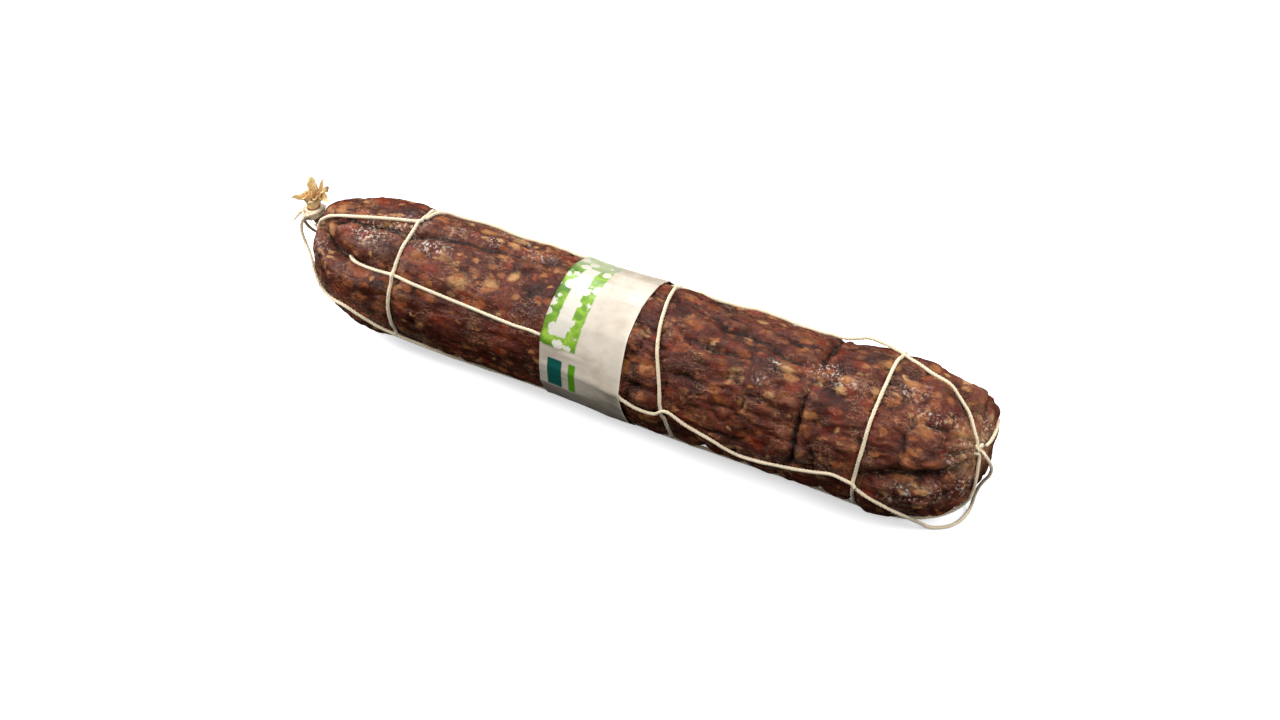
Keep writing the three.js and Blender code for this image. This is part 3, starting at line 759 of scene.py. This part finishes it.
def make_sausage(material):
    neck = neck_rows()
    fat_end = [[RIGHT_X - 0.4, 0, FAT_END_Z]]
    points = np.concatenate([neck.reshape(-1, 3), skin.reshape(-1, 3), fat_end])
    rows = len(neck) + len(skin)
    faces = grid_faces(rows, AROUND)[:, ::-1].tolist()
    faces.append(list(range(AROUND)))
    last = (rows - 1) * AROUND
    faces += [[last + (i + 1) % AROUND, last + i, rows * AROUND] for i in range(AROUND)]
    # how far the skin lies below or above its smoothed self; the skin's look uses it for painted shade in the
    # hollows and a painted highlight on the ridges
    hollow = height - blurred(height, 10)

    def whole(grid):
        """Values over the skin, with none on the neck and at the fat end's last point."""
        return np.concatenate([np.zeros(neck.shape[0] * AROUND), grid.ravel(), [0.0]])

    from_neck = np.linalg.norm(points - neck_root, axis=-1)
    from_pucker = np.linalg.norm(points - np.array([PUCKER_X + 1, -9.3, 60]), axis=-1)
    gathered = np.maximum(1 - ease(from_neck, 6, 16), 0.75 * (1 - ease(from_pucker, 3, 24)))
    return make_mesh(
        "cured_sausage", points, faces, "sausage", "sausage_skin", material,
        hollow=whole(hollow), bloom=whole(bloom(skin)), gathered=gathered,
    )


# ---- the skin's look ----
def skin_material():
    """Lean meat and lumps of fat, seen through a thin dry skin."""
    shader = Shader("sausage_skin")
    straight = shader.place((0.72, 1, 1))
    bend = shader.node("TexNoise", {"Vector": straight, "Scale": 130.0, "Detail": 3.0}).outputs["Color"]
    curl = shader.node("TexNoise", {"Vector": straight, "Scale": 420.0, "Detail": 3.0}).outputs["Color"]
    bent = shader.shifted(shader.shifted(straight, bend, 0.009), curl, 0.0032)

    broad = shader.noise(62, 3, bent, 0.55)
    flesh = shader.ramp(broad, [
        (0.3, colour(48, 21, 16)), (0.42, colour(78, 34, 24)), (0.5, colour(98, 43, 30)),
        (0.58, colour(114, 50, 33)), (0.7, colour(126, 64, 42)),
    ])
    grain = shader.noise(380, 4, bent, 0.6)
    flesh = shader.mix(shader.between(grain, 0.36, 0.6, (0.62, 0)), flesh, colour(58, 29, 21))

    def lumps(size, reach, share, seed, strength):
        """Soft-edged lumps: how clearly each shows, and its own tone."""
        place = shader.node("Mapping", {"Vector": bent, "Location": (seed, seed * 2.0, 0)}).outputs[0]
        cell = shader.node("TexVoronoi", {"Vector": place, "Scale": 1 / size, "Randomness": 0.95})
        own = shader.node("SeparateColor", {"Color": cell.outputs["Color"]})
        near = shader.between(cell.outputs["Distance"], reach, reach * 0.35)
        chosen = shader.between(own.outputs[0], share, share + 0.12)
        clear = shader.times(near, chosen)
        return shader.times(clear, strength), own.outputs[1]

    red, _ = lumps(0.0105, 0.52, 0.45, 3.0, 0.72)
    flesh = shader.mix(red, flesh, colour(136, 46, 24))
    dark, _ = lumps(0.013, 0.5, 0.66, 11.0, 0.45)
    flesh = shader.mix(dark, flesh, colour(50, 25, 20))
    for size, reach, share, seed, strength in (
        (0.0115, 0.52, 0.58, 7.0, 1.0), (0.0072, 0.52, 0.56, 5.0, 0.95), (0.0044, 0.52, 0.6, 9.0, 0.85),
    ):
        fat, tone = lumps(size, reach, share, seed, strength)
        fat_colour = shader.ramp(tone, [
            (0.0, colour(214, 168, 112)), (0.16, colour(192, 132, 78)), (0.45, colour(168, 98, 54)),
            (0.8, colour(150, 74, 40)), (1.0, colour(134, 82, 56)),
        ])
        broken = shader.times(fat, shader.between(grain, 0.28, 0.5, (0.45, 1)))
        flesh = shader.mix(broken, flesh, fat_colour)

    # milky patches: partly the dry skin's own film, partly a painted sheen
    film = shader.between(shader.noise(46, 5, None, 0.65), 0.42, 0.66, (0.0, 0.12))
    flesh = shader.mix(film, flesh, colour(104, 66, 48))
    hollow = shader.attribute("hollow")
    # painted shade: the skin is darkened in its hollows and creases, where shade falls
    flesh = shader.mix(shader.between(hollow, -1.5, -0.1, (0.88, 0)), flesh, colour(24, 11, 7))
    # painted highlight: the tops of the ridges are lightened where light would catch them
    flesh = shader.mix(shader.between(hollow, 0.35, 1.2, (0, 0.14)), flesh, colour(178, 128, 92))
    flesh = shader.mix(0.26, flesh, colour(14, 5, 3))  # the rind is darker than the meat under it
    # thin pale lines along the casing's fine wrinkles: partly their own paler colour, partly a painted
    # highlight
    wrinkle_noise = shader.noise(240, 5, shader.place((0.4, 1, 1)), 0.6, 1.6)
    off_middle = shader.math("ABSOLUTE", shader.math("SUBTRACT", wrinkle_noise, 0.5))
    wrinkle_and_highlight = shader.between(off_middle, 0.022, 0.004, (0, 0.5))
    wrinkle_and_highlight = shader.times(wrinkle_and_highlight, shader.between(shader.noise(55, 2), 0.45, 0.6))
    flesh = shader.mix(wrinkle_and_highlight, flesh, colour(196, 150, 112))

    flakes = shader.noise(520, 4, None, 0.6, 0.6)
    dust = shader.times(shader.attribute("bloom"), shader.between(flakes, 0.53, 0.62))
    flesh = shader.mix(shader.times(dust, 0.85), flesh, colour(226, 214, 200))
    dry = shader.times(shader.attribute("gathered"), shader.between(grain, 0.38, 0.6, (0.15, 0.8)))
    flesh = shader.mix(dry, flesh, colour(190, 150, 108))
    shader.set("Base Color", flesh)
    rough = shader.between(shader.noise(170, 4), 0.35, 0.65, (0.16, 0.4))
    shader.set("Roughness", shader.math("ADD", rough, shader.times(dust, 0.3), True))
    shader.set("Specular IOR Level", 0.17)
    creases = shader.noise(300, 6, shader.place((0.5, 1, 1)), 0.6, 1.2)
    crumple = shader.noise(800, 5, None, 0.6, 0.8)
    normal = shader.bump(creases, 0.0018, 0.7)
    normal = shader.bump(crumple, 0.0006, 0.8, normal)
    shader.set("Normal", normal)
    return shader.material


def casing_material():
    """Dry casing: a thin golden film, orange where it is folded together and brown at its curled tips."""
    shader = Shader("dry_casing", Roughness=0.42, Coat_Weight=0.25, Coat_Roughness=0.3)
    shader.set("Subsurface Weight", 0.35)
    shader.set("Subsurface Radius", (0.004, 0.002, 0.001))
    up, inner = shader.attribute("up"), shader.attribute("inner")
    streaks = shader.noise(420, 4, None, 0.6, 0.8)
    film = shader.ramp(streaks, [
        (0.3, colour(208, 168, 104)), (0.5, colour(228, 200, 146)), (0.7, colour(242, 226, 188)),
    ])
    folded = shader.mix(shader.between(streaks, 0.35, 0.6), colour(176, 98, 36), colour(222, 156, 76))
    deep = shader.times(inner, shader.between(up, 1.0, 0.55, (0.1, 0.7)))
    tone = shader.mix(shader.between(up, 0.5, 0.1, (0, 0.55)), film, colour(214, 156, 84))
    tone = shader.mix(deep, tone, folded)
    shader.set("Base Color", shader.mix(shader.attribute("curled"), tone, colour(134, 74, 36)))
    shader.set("Normal", shader.bump(shader.noise(650, 4), 0.0005, 0.7))
    return shader.material


def paper_material():
    """Coated white paper: a leafy green print with white blossoms on its left, bare on its right."""
    shader = Shader("printed_paper", Roughness=0.4, Coat_Weight=0.15, Coat_Roughness=0.25)
    across = shader.attribute("across")  # 0 to 1 over the band's width
    degrees = shader.attribute("degrees")  # from the top, towards the side that is seen
    soil = shader.noise(60, 4)
    paper = shader.mix(shader.between(soil, 0.4, 0.7), colour(204, 194, 178), colour(184, 170, 152))

    def inside(value, start, end, soft):
        rising = shader.between(value, start - soft, start + soft)
        return shader.times(rising, shader.between(value, end + soft, end - soft))

    leaves = shader.noise(120, 3, None, 0.55, 0.5)
    green = shader.ramp(leaves, [
        (0.35, colour(72, 116, 6)), (0.5, colour(106, 150, 12)), (0.65, colour(142, 180, 52)),
    ])
    petals = shader.node("TexVoronoi", {"Vector": shader.place(), "Scale": 150.0, "Randomness": 1.0})
    crinkle = shader.times(shader.math("SUBTRACT", shader.noise(420, 3), 0.5), 0.5)
    petal = shader.between(shader.math("ADD", petals.outputs["Distance"], crinkle), 0.5, 0.42)
    faded = shader.between(degrees, 0.0, -26.0, (0, 0.6))
    bare = shader.math("MAXIMUM", petal, faded)
    leafy = shader.mix(bare, green, colour(204, 200, 184))
    wavy = shader.math("ADD", across, shader.times(shader.math("SUBTRACT", soil, 0.5), 0.05))
    left_part = inside(wavy, -0.5, 0.44, 0.012)
    field = shader.times(left_part, inside(degrees, -40.0, 66.0, 1.2))
    print_colour = shader.mix(field, paper, leafy)
    plate = shader.times(inside(wavy, 0.13, 0.29, 0.008), inside(degrees, -12.0, 57.0, 1.0))
    print_colour = shader.mix(plate, print_colour, colour(206, 200, 187))
    lower = inside(degrees, 76.0, 103.0, 0.6)
    teal = shader.times(inside(across, 0.12, 0.3, 0.006), lower)
    print_colour = shader.mix(teal, print_colour, colour(10, 88, 80))
    stripe = shader.times(inside(across, 0.385, 0.47, 0.006), lower)
    print_colour = shader.mix(stripe, print_colour, colour(86, 148, 20))
    shader.set("Base Color", print_colour)
    shader.set("Normal", shader.bump(shader.noise(300, 4), 0.0004, 0.35))
    return shader.material


skin_look, paper_look, casing_look = skin_material(), paper_material(), casing_material()


# ---- strands and rings of twine ----
PRESSED = 0.72  # height of a twine's middle over the skin that it presses into, in radii
SUNK_UNDER_BAND = 1.9  # so that no strand shows through the paper
MM_PER_DEGREE = 0.7  # around the skin
RING_RADIUS = 42.0


def smooth_route(route):
    """Stations and angles in radians, about a millimetre apart, along a route in degrees."""
    flat = smooth_path([(x, degrees * MM_PER_DEGREE) for x, degrees in route], 1.0)
    return flat[:, 0], np.radians(flat[:, 1] / MM_PER_DEGREE)


def strand_path(route, lead=(), tail=(), raise_at=(), bedded_until=None, tightness=6e-4):
    """A strand on the skin along a route, with free points before and after it."""
    x, angle = smooth_route(route)
    point, normal, bumps = at_skin(x, angle)
    lift = pulled_tight(bumps, 1.0, tightness) - bumps + PRESSED * TWINE_RADIUS
    for station, extra, reach in raise_at:
        lift = lift + extra * np.exp(-(((x - station) / reach) ** 2))
    under_band = ease(x, BAND_LEFT - 3, BAND_LEFT + 2) * (1 - ease(x, BAND_RIGHT - 2, BAND_RIGHT + 3))
    lift = lift - SUNK_UNDER_BAND * under_band
    if bedded_until is not None:
        bedded = 1 - ease(x, bedded_until - 9, bedded_until + 8)
        lift = lift * (1 - bedded) - 1.6 * bedded  # it comes up out of a fold
    placed = point + normal * lift[:, None]
    placed[:, 2] = np.maximum(placed[:, 2], TWINE_LOWEST)
    ends = [np.asarray(p, float).reshape(-1, 3) for p in (lead, tail)]
    return smooth_path(np.concatenate([ends[0], placed[::2], ends[1]]))


CROSSINGS = {  # angles in degrees at which strands cross each ring, and how far the ring rises there
    "twine_ring_neck_end": ((0, 0.9), (54.5, 1.5), (118, 1.5), (-126, 1.2), (-22, 0.9)),
    "twine_ring_beside_band": ((-38, 1.4), (94.5, 1.5), (143, 1.2), (-128, 1.2)),
    "twine_ring_fat_end": ((-38.5, 1.4), (94, 1.5), (141, 1.2), (-122, 1.2)),
}


def ring_path(ring):
    angle = np.linspace(0, 2 * math.pi, 360, endpoint=False)
    x = ring_station(ring, angle) + 0.35 * np.sin(3 * angle + len(ring)) + 0.2 * np.sin(7 * angle)
    point, normal, bumps = at_skin(x, angle)
    lift = pulled_tight(bumps, TWINE_STEP, 0.006, closed=True) - bumps + PRESSED * TWINE_RADIUS
    for degrees, extra in CROSSINGS[ring]:
        off = wrapped(angle - math.radians(degrees)) * RING_RADIUS
        lift = lift + extra * np.exp(-((off / 2.6) ** 2))
    placed = point + normal * lift[:, None]
    placed[:, 2] = np.maximum(placed[:, 2], TWINE_LOWEST)
    return smooth_path(placed[::3], closed=True)


TOP_NECK_ROUTE = [
    (-214.6, 25), (-209, 18), (-201.5, 15.5), (-189, 13.5), (-175, 10), (-162, 5), (-150, 0), (-147, -4),
]
TOP_ROUTE = [
    (-146.5, -8), (-145, -20), (-140, -29), (-130, -35), (-110, -39), (-60, -38), (-20, -37), (15, -38.5),
    (60, -39), (100, -40), (116, -40), (132, -40), (148, -38.5), (161, -27.5), (175, -16), (187, -10),
    (195.6, -5), (201, -1), (206, 8), (209.5, 19), (211.8, 28),
]
FRONT_ROUTE = [
    (-212, 36), (-205, 43.5), (-199, 51), (-192, 53), (-181, 53.5), (-171, 55), (-160, 55), (-146, 54),
    (-133, 55.5), (-100, 58), (-66, 60.5), (-45, 61), (-18, 76), (0, 86), (10, 90), (20.5, 95), (31, 94.5),
    (38, 88), (51, 95), (68, 102), (83, 109), (102, 105), (118, 100.5), (130, 96), (141, 91.5), (150, 93),
    (154, 94),
]
BELLY_ROUTE = [
    (-212, 104), (-204, 108), (-197, 109), (-190, 105), (-180, 101), (-171, 104), (-160, 111), (-147, 118),
    (-128, 126), (-100, 134), (-60, 139), (-20, 140), (100, 140), (152, 141), (175, 146), (195, 150),
    (206, 146), (211, 130), (213, 100), (213.4, 60), (213, 40),
]
BACK_ROUTE = [
    (-196, -126), (-185, -126), (-147, -126), (-20, -128), (40, -128), (100, -126), (152, -122), (175, -115),
    (195, -100), (206, -76), (211, -48), (213, -20), (213.4, 6), (212.8, 24),
]
# Where two of them hang free between the neck and the skin.
BELLY_LEAD = [
    (-227, -5.5, 58.5), (-229.6, -6.4, 55), (-229.8, -8.4, 49), (-226.4, -11, 43.8), (-221, -15, 41),
]
BACK_LEAD = [
    (-226, -4.6, 59.5), (-230, -4, 56), (-231, -2, 49.6), (-229.6, 2, 42), (-226, 8, 34.4),
    (-219.4, 15.6, 26), (-209.4, 24, 18.4),
]


def knot_path(centre, axis, size, turns=1.5):
    """A small tied lump: a curve that goes round its own middle and through it."""
    axis = np.asarray(axis, float) / np.linalg.norm(axis)
    side = np.cross(axis, (0.2, 0.9, 0.3))
    side /= np.linalg.norm(side)
    other = np.cross(axis, side)
    t = np.linspace(0, 2 * math.pi * turns, 40)[:, None]
    out = size * (0.72 + 0.38 * np.cos(1.5 * t))
    along = axis * size * 0.62 * np.sin(1.5 * t)
    return np.asarray(centre) + out * (np.cos(t) * side + np.sin(t) * other) + along


def make_strands():
    strands = (
        ("top_strand_at_neck", "twine_top_at_neck", TOP_NECK_ROUTE,
         {"lead": [(-220.6, -6.4, 55.6), (-218.6, -6.6, 54)]}),
        ("top_strand", "twine_top", TOP_ROUTE, {"raise_at": [(131, 3.6, 11)], "tightness": 5e-3}),
        ("front_strand", "twine_front", FRONT_ROUTE, {"tail": [(156, -45.4, 36.6)], "bedded_until": -182}),
        ("belly_strand", "twine_belly", BELLY_ROUTE, {"lead": BELLY_LEAD}),
        ("back_strand", "twine_back", BACK_ROUTE, {"lead": BACK_LEAD}),
    )
    for seed, (name, node, route, options) in enumerate(strands, start=1):
        make_twine(name, node, [strand_path(route, **options)], seed=seed)
    for seed, ring in enumerate(RINGS, start=10):
        make_twine(ring.replace("twine_", ""), ring, [ring_path(ring)], closed=True, seed=seed)
    centre, normal, _ = at_skin(np.array([212.4]), np.array([math.radians(32)]))
    knot_middle = centre[0] + normal[0] * 1.7
    knot = smooth_path(knot_path(knot_middle, normal[0], 2.7))
    half_way = (knot_middle + SLACK_ROUTE[-1]) / 2 + [0.8, 0, 0]
    to_slack = smooth_path([knot_middle, half_way, SLACK_ROUTE[-1]])
    make_twine("end_knot", "twine_end_knot", [knot, to_slack], seed=20)


# ---- the neck ----
def make_binding():
    """Turns of twine wound tight round the neck, one slanting over them, a knot and a frayed end."""
    t = np.linspace(0, 2 * math.pi * 3.8, 90)
    climb = BINDING_START + 0.5 + 1.6 * t / (2 * math.pi) + 0.25 * np.sin(t)
    wound = around_neck(climb, NECK_RADIUS + 1.0 + 0.2 * np.sin(2.3 * t), t)
    s = np.linspace(-0.4, 2 * math.pi + 0.4, 30)
    height_there = BINDING_START + 3.4 + 2.5 * np.cos(s - 0.5)
    slanting = around_neck(height_there, NECK_RADIUS + 2.6 + 0.25 * np.sin(2 * s), s)
    over = np.linspace(1.9, 5.2, 16)
    third = around_neck(BINDING_START + 3.4 - 2.2 * np.cos(over - 0.2), NECK_RADIUS + 3.0, over)
    knot_middle = around_neck(BINDING_START + 2.6, NECK_RADIUS + 2.2, math.radians(165))
    knot = knot_path(knot_middle, (0.5, -0.7, 0.5), 2.0, 2)
    off_middle = [(-5.6, -2.4, 1.0), (-7.6, -4.2, 0.4), (-9, -6.6, -1.6), (-10, -9, -3.6), (-11, -11, -6.4)]
    frayed = around_neck(BINDING_START + 3, 0.0, 0.0) + np.array(off_middle)
    paths = [smooth_path(path) for path in (wound, slanting, third, knot, frayed)]
    make_twine("neck_winding", "neck_binding", paths, last_taper=0.85, hairs=0.5, seed=30)


TUFT_START = 11.6  # distance along the neck at which the casing comes out of the binding
TUFT_STALK = 7.0
# Flaps of the casing: angle, width, and how far each reaches outwards and upwards of the rest.
FLAPS = [
    (-140, 15, 5.0, 8.0), (138, 13, 10.8, -2.0), (-58, 16, 3.2, 4.8), (2, 15, 4.8, 0.2), (75, 14, 3.4, -0.6),
    (-100, 12, 1.2, 0.4), (-15, 11, 2.2, 2.4), (105, 10, 3.0, 1.0),
]


def casing_sheet(turn, up, size, twist):
    """The gathered film: turn goes round it, up goes from 0 in the binding to 1 at the ragged edge."""
    reach = 5.5 + 0.5 * np.sin(7 * turn + twist) + 0.4 * np.sin(13 * turn + 1)
    rise = 2.2 + 0.6 * np.sin(5 * turn + twist) + 0.4 * np.sin(11 * turn)
    for degrees, width, further, higher in FLAPS:
        off = wrapped(turn - math.radians(degrees) - 0.6 * twist) / math.radians(width)
        near = np.exp(-(np.abs(off) ** 1.25))
        reach = reach + further * near
        rise = rise + higher * near
    reach, rise = reach * size, (rise + TUFT_STALK) * (1.15 - 0.15 * size)
    radius = 3.2 * size**0.3 + (reach - 3.2) * up**2.1
    ruffled = up * (0.5 + 0.9 * up)
    radius = radius + ruffled * (0.7 * np.sin(9 * turn + 2.2 * up + twist) + 0.35 * np.sin(17 * turn + 1))
    swing = turn + 0.14 * up * np.sin(6 * turn + 1) + 0.3 * twist * up
    along = TUFT_START + rise * (1 - (1 - up) ** 1.6) + 0.5 * ruffled * np.sin(8 * turn + 2 * twist)
    return along, radius, swing


def make_casing_tuft(material):
    rounds, ups = 150, 22
    turn, up = np.meshgrid(np.linspace(0, 2 * math.pi, rounds, endpoint=False), np.linspace(0, 1, ups))
    points, faces, ups_of, inner, curled = [], [], [], [], []
    count = 0
    for number, (size, twist) in enumerate(((1.0, 0.0), (0.66, 1.3), (0.36, 2.9))):
        along, radius, swing = casing_sheet(turn, up, size, twist)
        sheet = around_neck(along, radius, swing)
        crumple = noise_vector(sheet, 3.2, 81) + 0.5 * noise_vector(sheet, 1.5, 84)
        sheet = sheet + 0.8 * crumple * (0.1 + up[..., None])
        normal = skin_normals(sheet) * 0.09
        both = np.concatenate([sheet + normal, (sheet - normal)[::-1]])
        quads = grid_faces(2 * ups, rounds)
        ring = np.arange(rounds)
        after = (ring + 1) % rounds
        last = (2 * ups - 1) * rounds
        quads = np.concatenate([quads, np.stack([last + ring, last + after, after, ring], axis=-1)])
        faces.append(quads + count)
        points.append(both.reshape(-1, 3))
        doubled = np.concatenate([up, up[::-1]])
        ups_of.append(doubled.ravel())
        inner.append(np.full(doubled.size, number / 2))
        tip = ease(up, 0.8, 1) * np.exp(-((wrapped(turn + math.radians(52)) / 0.5) ** 2)) * (number == 0)
        curled.append(np.concatenate([tip, tip[::-1]]).ravel())
        count += both.shape[0] * rounds
    return make_mesh(
        "gathered_casing", np.concatenate(points), np.concatenate(faces), "casing_tuft", "dry_casing",
        material, up=np.concatenate(ups_of), inner=np.concatenate(inner), curled=np.concatenate(curled),
    )


# ---- the paper band ----
BAND_THICKNESS = 0.2
BAND_RADIUS = 41.0
BAND_SEAM = math.radians(-152)  # where the paper's end laps over its start
BAND_LAP = math.radians(17)


def make_band(material):
    """Paper pulled round the sausage: it rides over the strands and spans the folds."""
    columns, rows = 420, 46
    angle_line = BAND_SEAM + np.linspace(0, 2 * math.pi + BAND_LAP, columns)
    share, angle = np.meshgrid(np.linspace(0, 1, rows), angle_line, indexing="ij")
    skew = 1.2 * np.sin(angle - 0.8)
    left = BAND_LEFT + skew + 0.25 * np.sin(angle * 5)
    right = BAND_RIGHT + 1.2 - 2.2 * np.cos(angle) + skew + 0.2 * np.sin(angle * 4 + 2)
    x = left + (right - left) * share
    there = at_skin(x.ravel(), angle.ravel())
    point, normal, bumps = (part.reshape(x.shape + part.shape[1:]) for part in there)
    tall = bumps.copy()
    for route in (TOP_ROUTE, FRONT_ROUTE, BELLY_ROUTE, BACK_ROUTE):
        off = wrapped(angle - np.interp(x, *smooth_route(route))) * BAND_RADIUS
        tall = np.maximum(tall, np.where(np.abs(off) < 1.3, bumps + 1.6 - 0.3 * off**2, -9))
    spacing = BAND_RADIUS * (angle_line[1] - angle_line[0])
    tight = pulled_tight(tall.T, spacing, 0.0045, rounds=40).T
    tight = pulled_tight(tight, 1.15, 0.0015, rounds=12)
    for _ in range(3):
        tight[1:-1] = (tight[:-2] + 2 * tight[1:-1] + tight[2:]) / 4
    lap = BAND_THICKNESS * 1.3 * ease(angle, BAND_SEAM + 2 * math.pi - 0.03, BAND_SEAM + 2 * math.pi + 0.02)
    curl = 0.35 * np.exp(-share / 0.035) * (0.5 + 0.5 * np.sin(angle * 3 + 1))
    curl += 0.4 * np.exp(-(1 - share) / 0.035) * (0.5 + 0.5 * np.sin(angle * 2 + 4))
    facing_up = ease(np.cos(angle), -0.8, -0.55)
    lift = tight - bumps + 0.12 + lap + curl * facing_up
    inner = point + normal * lift[..., None]
    outer = inner + normal * BAND_THICKNESS
    inner[..., 2] = np.maximum(inner[..., 2], 0.12)
    outer[..., 2] = np.maximum(outer[..., 2], 0.03)
    inner[np.cos(angle) < -0.9, 2] += BAND_THICKNESS  # on the flattened belly the paper is pressed flat
    points = np.concatenate([outer.reshape(-1, 3), inner.reshape(-1, 3)])
    quads = grid_faces(rows, columns, wrap=False)
    count = rows * columns
    faces = [quads[:, ::-1], quads + count]
    index = np.arange(count).reshape(rows, columns)
    for line, flip in ((index[0], False), (index[-1], True), (index[:, 0], True), (index[:, -1], False)):
        side = np.stack([line[:-1], line[1:], line[1:] + count, line[:-1] + count], axis=-1)
        faces.append(side if flip else side[:, ::-1])
    faces = np.concatenate(faces)
    across = ((x - BAND_LEFT) / (BAND_RIGHT - BAND_LEFT)).ravel()
    degrees = np.degrees(angle).ravel()
    return make_mesh("paper_wrap", points, faces, "paper_band", "paper", material,
                     across=np.tile(across, 2), degrees=np.tile(degrees, 2))


# ---- light and floor ----
FLOOR_REACH = 40.0
FLOOR_GLOW = 0.5  # keeps the floor pale and the shadow faint
SKY_AT_HORIZON, SKY_OVERHEAD = 0.02, 1.1


def make_studio():
    floor_mesh = bpy.data.meshes.new("floor")
    corners = [(x * FLOOR_REACH, y * FLOOR_REACH, 0) for x, y in ((-1, -1), (1, -1), (1, 1), (-1, 1))]
    floor_mesh.from_pydata(corners, [], [(0, 1, 2, 3)])
    floor = bpy.data.objects.new("floor", floor_mesh)
    bpy.context.scene.collection.objects.link(floor)
    white = Shader("floor", Roughness=0.8)
    white.set("Base Color", (0.84, 0.84, 0.85, 1))
    white.set("Emission Color", (1, 1, 1, 1))
    white.set("Emission Strength", FLOOR_GLOW)
    white.set("Specular IOR Level", 0.2)
    floor_mesh.materials.append(white.material)
    floor.visible_diffuse = floor.visible_glossy = False  # so that it throws no light back on the sausage

    world = bpy.data.worlds.new("studio")
    bpy.context.scene.world = world
    world.use_nodes = True
    tree = world.node_tree
    heading = tree.nodes.new("ShaderNodeSeparateXYZ")
    tree.links.new(tree.nodes.new("ShaderNodeTexCoord").outputs["Generated"], heading.inputs[0])
    sky = tree.nodes.new("ShaderNodeMapRange")
    sky.inputs["To Min"].default_value = SKY_AT_HORIZON
    sky.inputs["To Max"].default_value = SKY_OVERHEAD
    tree.links.new(heading.outputs["Z"], sky.inputs["Value"])
    tree.links.new(sky.outputs[0], tree.nodes["Background"].inputs["Strength"])
    tree.nodes["Background"].inputs["Color"].default_value = (1, 1, 1, 1)

    def soft_box(name, place, width, power):
        lamp = bpy.data.lights.new(name, "AREA")
        lamp.shape = "RECTANGLE"
        lamp.size, lamp.size_y = width
        lamp.energy = power
        piece = bpy.data.objects.new(name, lamp)
        bpy.context.scene.collection.objects.link(piece)
        piece.location = place
        piece.rotation_euler = (CAMERA_AIM - Vector(place)).to_track_quat("-Z", "Y").to_euler()

    soft_box("key_at_the_neck_end", (-0.85, -0.2, 0.45), (0.4, 0.4), 9)
    soft_box("fill_at_the_fat_end", (0.7, -0.2, 0.6), (0.35, 0.35), 4)
    soft_box("rim_above_behind", (-0.35, 0.62, 1.1), (0.7, 0.5), 9)


make_sausage(skin_look)
make_strands()
make_binding()
make_casing_tuft(casing_look)
make_band(paper_look)
make_studio()
bpy.context.scene.view_settings.view_transform = "Standard"
